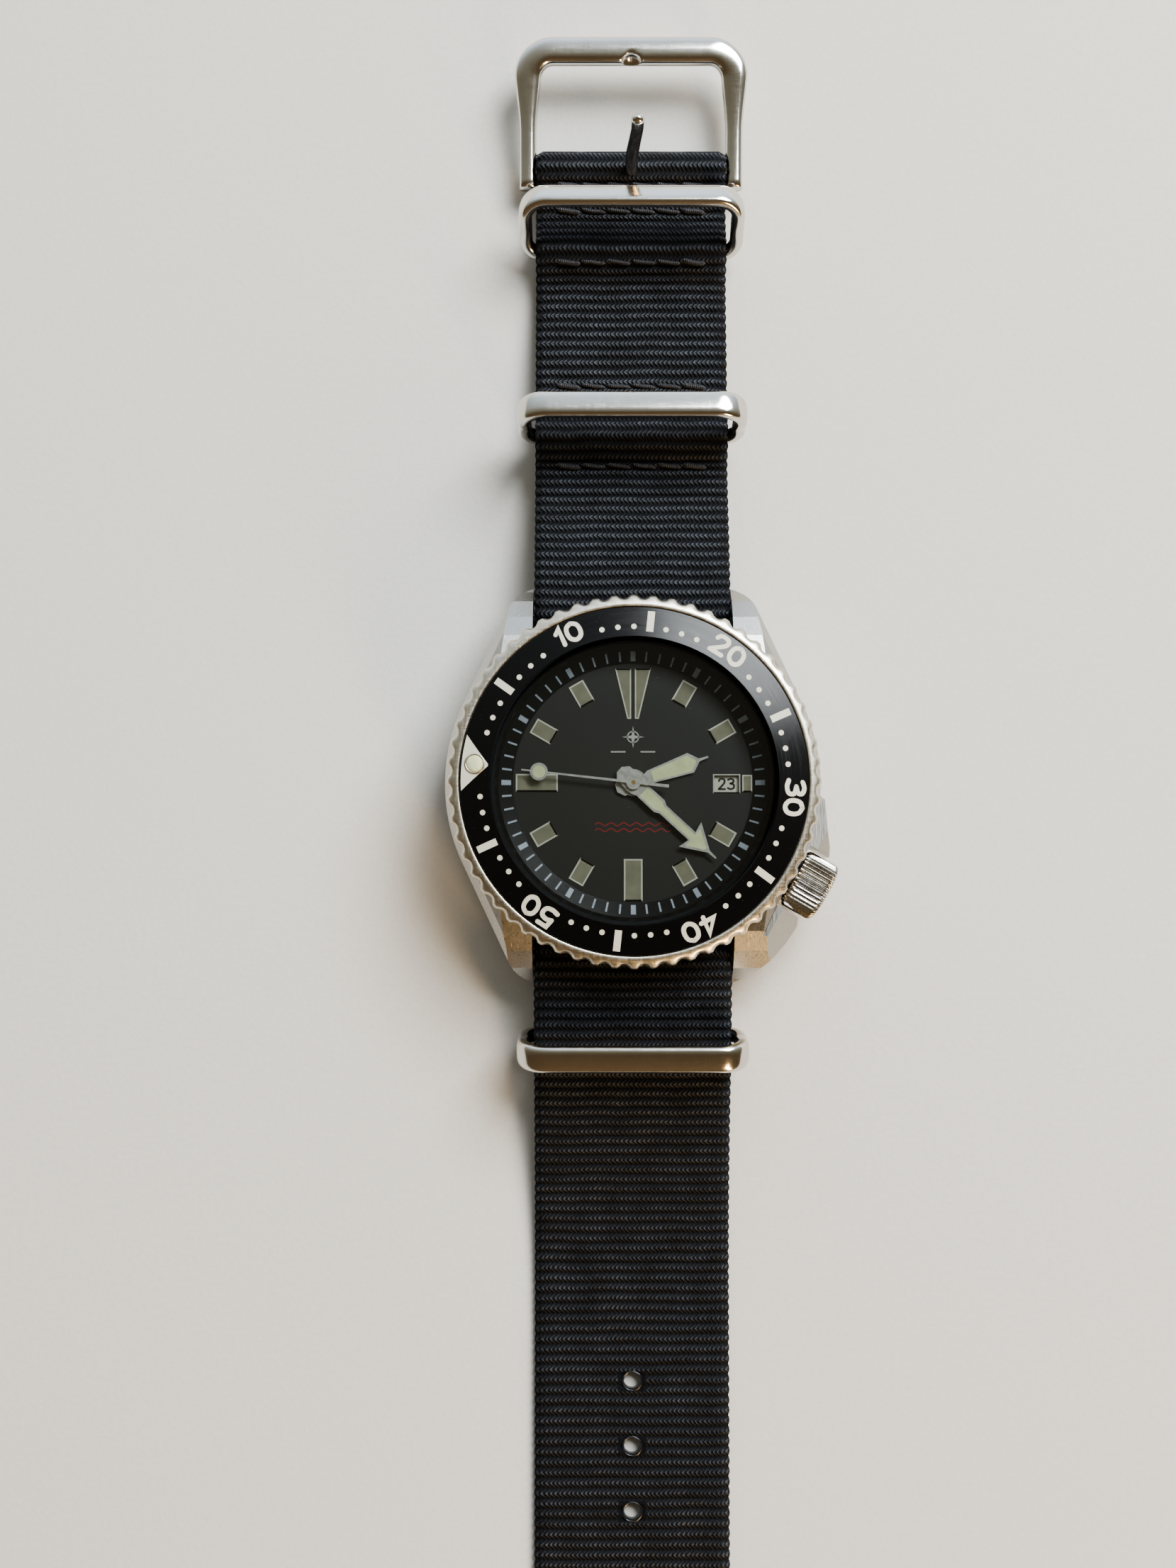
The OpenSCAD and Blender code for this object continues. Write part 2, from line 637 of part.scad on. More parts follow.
module balance_wheel() color("gold")
    at(balance_at, 0) {
        translate([0, 0, 6]) ring(balance_r, balance_r - 0.55, 0.3);
        for (a = [0, 60, 120]) rotate([0, 0, a])
            translate([0.2 - balance_r, -0.15, 6]) cube([2 * balance_r - 0.4, 0.3, 0.15]);
        translate([0, 0, 6.5]) cylinder(r = 0.8, h = 0.14, $fn = 48);
        pivots(bridge_z + 0.15, plate_z + 0.45);
        pivots(5.7, 7.1, 0.22);
    }

// Half-disc oscillating weight on its bearing.
module rotor() color("silver")
    difference() {
        union() {
            translate([0, 0, rotor_z]) intersection() {
                ring(13.3, 10, 1);
                translate([-20, -20, -1]) cube([40, 20, 5]);
            }
            translate([0, 0, rotor_z + 0.7]) intersection() {
                cylinder(r = 10.2, h = 0.3);
                translate([-20, -20, -1]) cube([40, 20, 5]);
            }
            translate([0, 0, 4.1]) cylinder(r = 2.2, h = 0.85, $fn = 48);
        }
        cylinder(r = 0.9 + tube_play, h = 10, $fn = 48);
        for (a = [-140, -90, -40]) rotate([0, 0, a]) translate([6.2, 0, 0]) cylinder(r = 1.6, h = 10, $fn = 48);
    }

module date_ring() color("gainsboro")
    translate([0, 0, 8.8]) ring(12.7, 8.7, 0.25);

// ---------------------------------------------------------------- strap

// Smooths a path of [y, z] points with k points between each two, as a Catmull-Rom curve.
function curve(p, k = 4) =
    let (n = len(p))
    [for (i = [0 : n - 2], j = [0 : (i == n - 2 ? k : k - 1)])
        let (a = p[max(i - 1, 0)], b = p[i], c = p[i + 1], d = p[min(i + 2, n - 1)], t = j / k)
        0.5 * (2 * b + (c - a) * t + (2 * a - 5 * b + 4 * c - d) * t * t
               + (3 * b - a - 3 * c + d) * t * t * t)];
function normal_at(p, i) =
    let (d = p[min(i + 1, len(p) - 1)] - p[max(i - 1, 0)]) [-d[1], d[0]] / norm(d);
function thick_line(p, t) =
    concat([for (i = [0 : len(p) - 1]) p[i] + normal_at(p, i) * t / 2],
           [for (i = [len(p) - 1 : -1 : 0]) p[i] - normal_at(p, i) * t / 2]);

// A length of webbing along a [y, z] path.
module webbing(path, w = strap_w) {
    translate([-w / 2, 0, 0]) rotate([90, 0, 90]) linear_extrude(w) polygon(thick_line(path, strap_t));
}

half_t = strap_t / 2;
wrap_r = bar_r + slack + half_t;
low_z = half_t;                   // middle of a layer that lies on the surface
mid_z = strap_t + slack + half_t; // middle of the layer above it
turn_up_r = 1.95;                 // bend where the strap turns up past the case back

// Under the case back and up past each spring bar, as far as the top of the bar.
function wrap_side() =
    concat(arc([bar_y - wrap_r - turn_up_r, mid_z + turn_up_r], turn_up_r, -90, 0, 6),
           arc([bar_y, bar_z], wrap_r, 180, 118, 5));

module strap_under_case() color("black")
    webbing(concat([for (i = [len(wrap_side()) - 1 : -1 : 0]) [-wrap_side()[i][0], wrap_side()[i][1]]],
                   wrap_side()));

// Short end, from the spring bar to the bend between the keepers, with the fold-back below it.
module strap_short_a() color("black") {
    webbing(concat(arc([bar_y, bar_z], wrap_r, 94, 82, 2),
                   curve([[21, 7.42], [25, 6.6], [30, 5.2], [36.4, 3.45], [38.4, 4.35], [40.3, 5.1],
                          [42.2, 4.35], [44.6, 3.45], [fold_y - 0.55, 2.95]])));
    webbing([[35.2, mid_z], [46.8, mid_z], [fold_y - 0.7, 1.35]]);
}

// From the bend round the buckle's bar and back.
module strap_short_b() color("black")
    difference() {
        webbing(concat(curve([[fold_y + 0.7, 2.85], [55, 2.25], [58.6, 2.1], [60.3, 2.85], [62.3, 3.9],
                              [64.4, 2.95], [66.4, 2.3], [69.5, 3.2], [buckle_y - 0.6, 4.2]]),
                       arc([buckle_y, buckle_z], buckle_bar_r + slack + half_t, 80, -80, 10),
                       [[69.6, 0.72], [60, 0.7], [54, 0.72], [fold_y + 0.8, 1.05]]));
        translate([-1.4, 69.9, -1]) cube([2.8, 6, 8]);
    }

module strap_tail_a() color("black")
    webbing(concat([for (p = arc([bar_y, bar_z], wrap_r, 94, 82, 2)) [-p[0], p[1]]],
                   curve([[-21, 7.42], [-25, 6.9], [-30, 5.9], [-36, 4.1], [tail_folds[0] + 0.35, 2.5]])));

module strap_tail_b() color("black")
    webbing(curve([[tail_folds[0] - 0.35, 2.4], [-48, 1.35], [-54, 0.8], [-60, low_z],
                   [tail_folds[1] + 0.35, low_z]]));

module hole_row() {
    for (i = [0 : holes - 1]) translate([0, -first_hole_y - i * hole_pitch, -1])
        cylinder(r = hole_r, h = 8, $fn = 32);
}

module strap_tail_c() color("black")
    difference() {
        webbing([[tail_folds[1] - 0.35, low_z], [tail_folds[2] + 0.35, low_z]]);
        hole_row();
    }

module strap_tail_d() color("black")
    difference() {
        linear_extrude(strap_t)
            polygon(concat([[strap_w / 2, tail_folds[2] - 0.35], [-strap_w / 2, tail_folds[2] - 0.35]],
                           [for (q = arc([0, 0], 1, 180, 360, 16))
                               [strap_w / 2 * q[0], -tip_y + 9 + 9 * q[1]]]));
        hole_row();
    }

module under_strip_case() color("black")
    webbing([[-17.2, low_z], [17.2, low_z]]);

module under_strip_short() color("black")
    webbing([[21.7, low_z], [46.5, low_z]]);

// Runs to the tail's keeper, round its lower bar and back on itself.
module under_strip_tail() color("black")
    webbing(concat([[-21.7, low_z], [-26, low_z]],
                   arc(keeper_3, keeper_r + slack + half_t, -90, -270, 10),
                   curve([[-26.6, 3.3], [-25, 2.2], [-23.4, mid_z]])));

// ---------------------------------------------------------------- keepers and buckle

// A bent ring standing on its round lower bar, with a flat front bar above.
module keeper(p, lean) color("silver")
    translate([0, p[0], p[1]]) rotate([lean, 0, 0]) {
        translate([-ring_w / 2 + 1.4, 0, 0]) rotate([0, 90, 0]) cylinder(r = keeper_r, h = ring_w - 2.8);
        difference() {
            rotate([90, 0, 0]) translate([0, 0, -keeper_band / 2]) linear_extrude(keeper_band)
                difference() {
                    union() {
                        translate([-ring_w / 2, 0]) square([ring_w, keeper_h - 1.4]);
                        translate([-ring_w / 2 + 2.2, -0.8]) square([ring_w - 4.4, keeper_h + 1.6]);
                        for (s = [-1, 1]) {
                            translate([s * (ring_w / 2 - 2.2), keeper_h - 1.4]) circle(r = 2.2);
                            translate([s * (ring_w / 2 - 1.6), 0.8]) circle(r = 1.6);
                        }
                    }
                    translate([-ring_w / 2 + 1.6, -3]) square([ring_w - 3.2, keeper_h + 2.2]);
                }
            for (s = [-1, 1]) translate([-30, s * 4.8 - 4, -4]) cube([60, 8, keeper_h * 0.55 + 4]);
        }
    }

module keeper_buckle() keeper(keeper_1, -lean_1);

module keeper_middle() keeper(keeper_2, -lean_2);

module keeper_tail() keeper(keeper_3, lean_3);

front_y = 86.8;
front_corner = 3.4;

// Arched frame: two arms that rise from the bar to a broad front bar.
module buckle_frame() color("silver")
    difference() {
        intersection() {
            linear_extrude(12) difference() {
                union() {
                    translate([-ring_w / 2, 69.8]) square([ring_w, front_y - front_corner - 69.8]);
                    translate([-ring_w / 2 + front_corner, 80])
                        square([ring_w - 2 * front_corner, front_y - 80]);
                    for (s = [-1, 1]) translate([s * (ring_w / 2 - front_corner), front_y - front_corner])
                        circle(r = front_corner);
                }
                translate([-arm_in, 60]) square([2 * arm_in, front_y - 65.5]);
                translate([-arm_in + 2, 60]) square([2 * arm_in - 4, front_y - 63.5]);
                for (s = [-1, 1]) translate([s * (arm_in - 2), front_y - 5.5]) circle(r = 2);
            }
            translate([-20, 0, 0]) rotate([90, 0, 90]) linear_extrude(40)
                polygon(concat([[69.8, 1.35]], curve([[73, 1.5], [78, 2.7], [82.8, 3.75], [87.2, 4.4]]),
                               curve([[87, 6.5], [82.8, 6.2], [78, 5.4], [73, 4.2]]),
                               [[70.4, 3.95], [69.8, 3.3]]));
        }
        translate([0, front_y - 3.6, 6.6]) sphere(r = 1.3, $fn = 32);
        translate([-ring_w / 2 + 0.7, buckle_y, buckle_z]) rotate([0, 90, 0])
            cylinder(r = 0.5, h = ring_w - 1.4);
    }

module buckle_bar() color("silver")
    translate([0, buckle_y, buckle_z]) rotate([0, 90, 0]) {
        translate([0, 0, -arm_in + 0.1]) cylinder(r = buckle_bar_r, h = 2 * arm_in - 0.2);
        translate([0, 0, -ring_w / 2 + 0.8]) cylinder(r = 0.45, h = ring_w - 1.6);
    }

// Wire tongue looped round the bar, its point raised off the frame.
module buckle_tongue() color("silver")
    translate([0, buckle_y, buckle_z]) rotate([tongue_raised, 0, 0]) {
        translate([-0.9, 0, 0]) rotate([0, 90, 0]) ring(1.65, buckle_bar_r + tube_play, 1.8);
        rotate([90, 0, 90]) translate([0, 0, -0.75]) linear_extrude(1.5)
            difference() {
                polygon(thick_line(curve([[0.9, 1], [3, 1.3], [6, 1.6], [9, 2.3], [12.2, 3.1]]), 1.1));
                circle(r = buckle_bar_r + tube_play);
            }
    }

// ---------------------------------------------------------------- what is drawn

mid_case();
crown_tube();
case_back();
case_back_gasket();
crystal();
crystal_gasket();
chapter_ring();
dial();
hour_markers();
movement_ring();
main_plate();
train_bridge();
balance_cock();
jewels();
bridge_screws();
hairspring();
click_spring();
spring_bars();
bezel();
bezel_insert();
bezel_pearl();
clutch_wheel();
crown();
stem();
crown_gasket();
hour_wheel();
hour_hand();
hour_hand_lume();
cannon_pinion();
centre_wheel();
minute_hand();
minute_hand_lume();
fourth_wheel();
second_hand();
second_hand_lume();
minute_wheel();
third_wheel();
escape_wheel();
barrel();
mainspring();
pallet_fork();
balance_wheel();
rotor();
date_ring();
strap_under_case();
strap_short_a();
strap_short_b();
strap_tail_a();
strap_tail_b();
strap_tail_c();
strap_tail_d();
under_strip_case();
under_strip_short();
under_strip_tail();
keeper_buckle();
keeper_middle();
keeper_tail();
buckle_frame();
buckle_bar();
buckle_tongue();
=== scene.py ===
"""The looks of the dive watch: webbing, polished steel, printed dial and bezel, and the studio."""

import json
import math

import bpy
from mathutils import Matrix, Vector, noise


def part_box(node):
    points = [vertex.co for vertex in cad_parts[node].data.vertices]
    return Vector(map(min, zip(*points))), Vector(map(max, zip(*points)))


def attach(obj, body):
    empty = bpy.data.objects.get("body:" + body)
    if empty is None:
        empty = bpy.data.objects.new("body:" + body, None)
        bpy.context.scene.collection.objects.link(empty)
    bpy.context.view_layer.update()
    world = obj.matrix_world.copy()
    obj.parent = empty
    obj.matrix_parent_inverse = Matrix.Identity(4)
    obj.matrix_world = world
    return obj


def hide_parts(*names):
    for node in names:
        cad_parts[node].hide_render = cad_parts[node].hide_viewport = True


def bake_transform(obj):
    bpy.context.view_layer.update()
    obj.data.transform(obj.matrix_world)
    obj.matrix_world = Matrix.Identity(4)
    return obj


MM = 0.001  # lengths below are in millimetres, and meshes in metres

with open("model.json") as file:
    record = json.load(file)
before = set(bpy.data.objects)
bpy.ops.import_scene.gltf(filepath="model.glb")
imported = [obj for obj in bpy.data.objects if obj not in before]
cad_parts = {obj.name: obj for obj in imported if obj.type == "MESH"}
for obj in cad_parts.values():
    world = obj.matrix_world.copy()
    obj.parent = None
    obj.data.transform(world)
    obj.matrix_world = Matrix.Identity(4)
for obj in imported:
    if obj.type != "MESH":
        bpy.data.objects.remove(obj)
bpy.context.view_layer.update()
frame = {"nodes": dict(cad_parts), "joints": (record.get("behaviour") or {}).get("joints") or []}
joints = {j["name"]: j for j in frame["joints"]}


def joint_at(name):
    """A joint's place in millimetres."""
    return Vector(joints[name]["pos_m"]) / MM


def node_box(name):
    """A CAD node's lowest and highest corners, in millimetres."""
    low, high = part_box(name)
    return low / MM, high / MM


# ---------------------------------------------------------------- materials


class Graph:
    """A material's node tree, with one short call for each kind of node it needs."""

    def __init__(self, name, **sockets):
        self.material = bpy.data.materials.new(name)
        self.material.use_nodes = True
        self.tree = self.material.node_tree
        self.shader = self.tree.nodes["Principled BSDF"]
        for socket, value in sockets.items():
            self.shader.inputs[socket.replace("_", " ")].default_value = value

    def node(self, kind, inputs=(), **settings):
        made = self.tree.nodes.new(kind)
        for key, value in settings.items():
            setattr(made, key, value)
        for key, value in dict(inputs).items():
            self.feed(made.inputs[key], value)
        return made

    def feed(self, socket, value):
        if isinstance(value, bpy.types.NodeSocket):
            self.tree.links.new(value, socket)
        else:
            socket.default_value = value

    def set(self, socket, value):
        self.feed(self.shader.inputs[socket], value)

    def math(self, operation, a, b=0.0):
        return self.node("ShaderNodeMath", {0: a, 1: b}, operation=operation).outputs[0]

    def place(self, scale=(1, 1, 1), rotation=(0, 0, 0)):
        """Object coordinates in millimetres, stretched by scale."""
        coords = self.node("ShaderNodeTexCoord").outputs["Object"]
        scaled = tuple(s / MM for s in scale)
        return self.node(
            "ShaderNodeMapping", {"Vector": coords, "Scale": scaled, "Rotation": rotation}
        ).outputs[0]

    def polar(self):
        """Angle round the dial axis in turns, radius and height in millimetres."""
        split = self.node("ShaderNodeSeparateXYZ", {0: self.place()})
        angle = self.math("DIVIDE", self.math("ARCTAN2", split.outputs[1], split.outputs[0]), math.tau)
        flat = self.node("ShaderNodeCombineXYZ", {0: split.outputs[0], 1: split.outputs[1]})
        length = self.node("ShaderNodeVectorMath", {0: flat.outputs[0]}, operation="LENGTH")
        return angle, length.outputs["Value"], split.outputs[2]

    def vector(self, x, y, z=0.0):
        return self.node("ShaderNodeCombineXYZ", {0: x, 1: y, 2: z}).outputs[0]

    def attribute(self, name):
        return self.node("ShaderNodeAttribute", attribute_name=name).outputs["Fac"]

    def noise(self, vector, scale=1.0, detail=2.0):
        return self.node(
            "ShaderNodeTexNoise", {"Vector": vector, "Scale": scale, "Detail": detail}
        ).outputs["Fac"]

    def ramp(self, value, low, high, to_low=0.0, to_high=1.0):
        return self.node(
            "ShaderNodeMapRange", {0: value, 1: low, 2: high, 3: to_low, 4: to_high}
        ).outputs[0]

    def mix(self, share, a, b):
        made = self.node("ShaderNodeMix", data_type="RGBA")
        for key, value in ((0, share), (6, a), (7, b)):
            self.feed(made.inputs[key], value)
        return made.outputs[2]

    def bump(self, height, depth_mm, strength=1.0):
        made = self.node(
            "ShaderNodeBump", {"Height": height, "Distance": depth_mm * MM, "Strength": strength}
        )
        self.set("Normal", made.outputs[0])


def rgba(*colour):
    """An opaque colour."""
    return (*colour, 1.0)


def polished_steel(name, tint=(0.72, 0.7, 0.66), rough=0.13, scratches=0.5):
    """Polished steel with hairline scratches in two directions and faint smears."""
    g = Graph(name, Metallic=1.0)
    smear = g.noise(g.place(), 0.35, 3.0)
    lines = g.noise(g.place((9.0, 0.7, 2.0), (0, 0, 0.5)), 1.0, 3.0)
    cross = g.noise(g.place((0.8, 8.0, 2.0), (0, 0, 0.3)), 1.0, 3.0)
    both = g.math("MULTIPLY", lines, cross)
    g.set("Base Color", g.mix(smear, rgba(*(0.88 * c for c in tint)), rgba(*tint)))
    g.set("Roughness", g.ramp(both, 0.15, 0.45, rough, rough + 0.14 * scratches))
    g.bump(both, 0.004 * scratches)
    return g.material


def brushed_steel(name, grain=(14.0, 0.5, 6.0), tint=(0.52, 0.51, 0.485), rough=0.27, turn=0.0):
    """Steel with a straight brushed grain and a few deeper scratches."""
    g = Graph(name, Metallic=1.0, Anisotropic=0.4)
    fine = g.noise(g.place(grain, (0, 0, turn)), 1.0, 5.0)
    broad = g.noise(g.place(), 0.4, 3.0)
    scratch = g.ramp(g.noise(g.place((5.0, 0.35, 2.0), (0, 0, turn + 0.9)), 1.0, 2.0), 0.68, 0.72)
    g.set("Base Color", g.mix(fine, rgba(*(0.86 * c for c in tint)), rgba(*tint)))
    g.set("Roughness", g.math("ADD", g.ramp(fine, 0.3, 0.7, rough - 0.05, rough + 0.1),
                              g.math("MULTIPLY", broad, 0.06)))
    g.bump(g.math("SUBTRACT", fine, g.math("MULTIPLY", scratch, 0.5)), 0.006)
    return g.material


def webbing_nylon():
    """Black nylon: a rib's yarns lean one way up its crest and the other way down; a bluish painted
    highlight on the yarns along each crest stands in for their glint.
    """
    g = Graph("nylon", Specular_IOR_Level=0.22, Sheen_Weight=0.02, Sheen_Roughness=0.4,
              Sheen_Tint=rgba(0.55, 0.65, 0.9))
    across, along, crest = (g.attribute(name) for name in ("across", "along", "crest"))
    wander = g.noise(g.vector(across, along), 0.9, 2.0)
    lean = g.math("MULTIPLY", g.math("PINGPONG", along, RIB / 2), 0.75)
    place = g.math("ADD", g.math("ADD", across, lean), g.math("MULTIPLY", wander, 0.35))
    yarn = g.math("SINE", g.math("MULTIPLY", place, math.tau / YARN))
    fibre = g.noise(g.vector(g.math("MULTIPLY", place, 16.0), g.math("MULTIPLY", along, 1.6)), 1.0, 3.0)
    height = g.math("ADD", g.math("MULTIPLY", yarn, 0.6), g.math("MULTIPLY", fibre, 0.5))
    worn = g.ramp(g.noise(g.vector(across, along), 0.3, 4.0), 0.35, 0.7)
    # painted highlight: the yarns along each rib's crest are painted bluish grey in the base colour,
    # stronger in the worn patches
    painted_glint = g.math("MULTIPLY", g.ramp(yarn, 0.1, 0.9), g.ramp(crest, 0.72, 0.98))
    dark = g.mix(worn, rgba(0.0028, 0.003, 0.004), rgba(0.0055, 0.006, 0.008))
    g.set("Base Color", g.mix(g.math("MULTIPLY", painted_glint, g.ramp(worn, 0.0, 1.0, 0.35, 1.0)), dark,
                              rgba(0.075, 0.085, 0.105)))
    g.set("Roughness", g.math("ADD", g.ramp(fibre, 0.3, 0.7, 0.3, 0.5), g.ramp(crest, 0.3, 0.9, 0.4, 0.0)))
    g.bump(height, 0.07)
    return g.material


def thread_black():
    """Twisted sewing thread."""
    g = Graph("thread", Sheen_Weight=0.2)
    x = g.node("ShaderNodeSeparateXYZ", {0: g.place()}).outputs[0]
    twist = g.math("SINE", g.math("MULTIPLY", x, 26.0))
    g.set("Base Color", g.mix(g.noise(g.place(), 4.0), rgba(0.008, 0.008, 0.01), rgba(0.02, 0.02, 0.026)))
    g.set("Roughness", g.ramp(twist, -1.0, 1.0, 0.3, 0.5))
    g.bump(twist, 0.03)
    return g.material


def painted(name, colour, rough=0.45, grain=12.0, depth=0.003, spread=0.12, **sockets):
    """A printed or moulded surface with a fine grain and slightly uneven colour."""
    g = Graph(name, **sockets)
    fine = g.noise(g.place(), grain, 3.0)
    cloud = g.noise(g.place(), 0.25, 3.0)
    low = rgba(*(c * (1 - spread) for c in colour))
    high = rgba(*(min(1.0, c * (1 + spread)) for c in colour))
    g.set("Base Color", g.mix(g.math("MULTIPLY", g.math("ADD", fine, cloud), 0.5), low, high))
    g.set("Roughness", g.ramp(fine, 0.3, 0.7, rough - 0.04, rough + 0.04))
    g.bump(fine, depth)
    return g.material


def insert_black():
    """Gloss black insert, with fine swirl marks and specks of dust worn into it."""
    g = Graph("insert_black", Specular_IOR_Level=0.35)
    angle, radius, _ = g.polar()
    swirl = g.noise(g.vector(g.math("MULTIPLY", angle, 9.0), g.math("MULTIPLY", radius, 7.0)), 2.0, 4.0)
    specks = g.ramp(g.noise(g.place(), 5.5, 1.0), 0.76, 0.8)
    g.set("Base Color", g.mix(specks, rgba(0.0035, 0.0035, 0.004), rgba(0.05, 0.05, 0.05)))
    g.set("Roughness", g.ramp(swirl, 0.35, 0.7, 0.14, 0.26))
    g.bump(swirl, 0.002)
    return g.material


def dial_black():
    """Matt black dial, a little warmer in the middle, with fine lacquer grain and dust."""
    g = Graph("dial_black")
    _, radius, _ = g.polar()
    dust = g.ramp(g.noise(g.place(), 3.1, 1.0), 0.78, 0.82)
    grain = g.noise(g.place(), 22.0, 2.0)
    base = g.mix(g.ramp(radius, 2.0, 14.0), rgba(0.0175, 0.016, 0.0135), rgba(0.0115, 0.0112, 0.0105))
    g.set("Base Color", g.mix(dust, base, rgba(0.09, 0.085, 0.075)))
    g.set("Roughness", g.ramp(grain, 0.3, 0.7, 0.42, 0.55))
    g.bump(grain, 0.002)
    return g.material


def striped_plate(name, tint, pitch):
    """Plated bridge with broad machined stripes."""
    g = Graph(name, Metallic=1.0)
    x = g.node("ShaderNodeSeparateXYZ", {0: g.place((1, 1, 1), (0, 0, 0.6))}).outputs[0]
    stripe = g.math("PINGPONG", x, pitch)
    fine = g.noise(g.place((0.6, 16.0, 2.0), (0, 0, 0.6)), 1.0, 4.0)
    g.set("Base Color", g.mix(g.math("DIVIDE", stripe, pitch), rgba(*(0.8 * c for c in tint)), rgba(*tint)))
    g.set("Roughness", g.ramp(fine, 0.3, 0.7, 0.22, 0.36))
    g.bump(g.math("ADD", stripe, g.math("MULTIPLY", fine, 0.4)), 0.02)
    return g.material


def turned(name, tint, rough=0.25):
    """Metal turned on a lathe: fine rings about the vertical axis of the dial."""
    g = Graph(name, Metallic=1.0)
    _, radius, height = g.polar()
    rings = g.noise(g.vector(g.math("MULTIPLY", radius, 18.0), g.math("MULTIPLY", height, 6.0)), 1.0, 3.0)
    g.set("Base Color", g.mix(rings, rgba(*(0.86 * c for c in tint)), rgba(*tint)))
    g.set("Roughness", g.ramp(rings, 0.3, 0.7, rough - 0.06, rough + 0.08))
    g.bump(rings, 0.003)
    return g.material


def hand_steel():
    """Satin hand with a grain along its length and dull spots."""
    g = Graph("hand_steel", Metallic=0.55)
    spots = g.noise(g.place(), 2.4, 4.0)
    g.set("Base Color", g.mix(spots, rgba(0.42, 0.41, 0.38), rgba(0.66, 0.65, 0.61)))
    g.set("Roughness", g.ramp(spots, 0.3, 0.7, 0.3, 0.46))
    g.bump(spots, 0.004)
    return g.material


def lume(name, fresh, aged, grain=9.0):
    """Grainy luminous paint, discoloured in patches."""
    g = Graph(name)
    patch = g.noise(g.place(), 0.9, 4.0)
    fine = g.noise(g.place(), grain, 3.0)
    g.set("Base Color", g.mix(g.ramp(patch, 0.3, 0.7), rgba(*fresh), rgba(*aged)))
    g.set("Roughness", g.ramp(fine, 0.3, 0.7, 0.62, 0.8))
    g.bump(fine, 0.012)
    return g.material


def crystal_glass():
    """Flat mineral glass: clear head on, with a Fresnel reflection."""
    material = bpy.data.materials.new("crystal_glass")
    material.use_nodes = True
    tree = material.node_tree
    tree.nodes.clear()
    output = tree.nodes.new("ShaderNodeOutputMaterial")
    clear = tree.nodes.new("ShaderNodeBsdfTransparent")
    clear.inputs["Color"].default_value = rgba(0.97, 0.985, 0.98)
    gloss = tree.nodes.new("ShaderNodeBsdfGlossy")
    gloss.inputs["Roughness"].default_value = 0.02
    fresnel = tree.nodes.new("ShaderNodeFresnel")
    fresnel.inputs["IOR"].default_value = 1.5
    blend = tree.nodes.new("ShaderNodeMixShader")
    for a, b in (
        (fresnel.outputs[0], blend.inputs[0]),
        (clear.outputs[0], blend.inputs[1]),
        (gloss.outputs[0], blend.inputs[2]),
        (blend.outputs[0], output.inputs[0]),
    ):
        tree.links.new(a, b)
    return material


RIB = 1.15  # spacing of the ribs along the strap
YARN = 0.5  # spacing of the yarns across a rib

M = {
    "bright": polished_steel("polished_steel"),
    "worn": polished_steel("worn_steel", tint=(0.66, 0.62, 0.53), rough=0.28, scratches=1.6),
    "brushed": brushed_steel("brushed_steel"),
    "crown_steel": brushed_steel("crown_steel", grain=(6.0, 6.0, 6.0), tint=(0.47, 0.455, 0.42),
                                 rough=0.22),
    "wire": brushed_steel("wire_steel", grain=(1.0, 8.0, 8.0), rough=0.3),
    "nylon": webbing_nylon(),
    "thread": thread_black(),
    "melted": painted("melted_nylon", (0.01, 0.01, 0.012), rough=0.28, grain=1.5, depth=0.03),
    "insert": insert_black(),
    "insert_print": painted("insert_print", (0.6, 0.58, 0.48), rough=0.5, grain=8.0),
    "dial": dial_black(),
    "print": painted("dial_print", (0.56, 0.55, 0.49), rough=0.5),
    "tick": painted("minute_print", (0.42, 0.47, 0.54), rough=0.42),
    "red": painted("red_print", (0.3, 0.018, 0.015), rough=0.5),
    "black_print": painted("black_print", (0.012, 0.012, 0.012), rough=0.5),
    "ring": painted("rehaut_black", (0.005, 0.0055, 0.007), rough=0.34, depth=0.001,
                    Specular_IOR_Level=0.2),
    "date": painted("date_disc", (0.68, 0.65, 0.54), rough=0.55),
    "marker": lume("marker_lume", (0.3, 0.285, 0.2), (0.23, 0.22, 0.155)),
    "frame": painted("marker_frame", (0.7, 0.67, 0.56), rough=0.35),
    "hand": hand_steel(),
    "hand_lume": lume("hand_lume", (0.82, 0.86, 0.52), (0.7, 0.73, 0.42)),
    "pearl": lume("pearl_lume", (0.66, 0.69, 0.44), (0.52, 0.54, 0.34)),
    "glass": crystal_glass(),
    "rubber": painted("black_rubber", (0.015, 0.015, 0.015), rough=0.7, grain=5.0, depth=0.02),
    "plastic": painted("movement_plastic", (0.72, 0.71, 0.68), rough=0.5, grain=4.0, depth=0.01),
    "brass": turned("brass", (0.78, 0.6, 0.28)),
    "plate": striped_plate("plate_brass", (0.76, 0.6, 0.32), 1.6),
    "bridge": striped_plate("nickel_bridge", (0.72, 0.7, 0.66), 1.2),
    "rotor": striped_plate("rotor_steel", (0.66, 0.65, 0.63), 1.5),
    "blued": turned("blued_steel", (0.07, 0.11, 0.34), 0.2),
    "spring": turned("spring_steel", (0.62, 0.62, 0.63), 0.3),
    "ruby": painted("ruby", (0.42, 0.01, 0.05), rough=0.08, depth=0.0005),
}

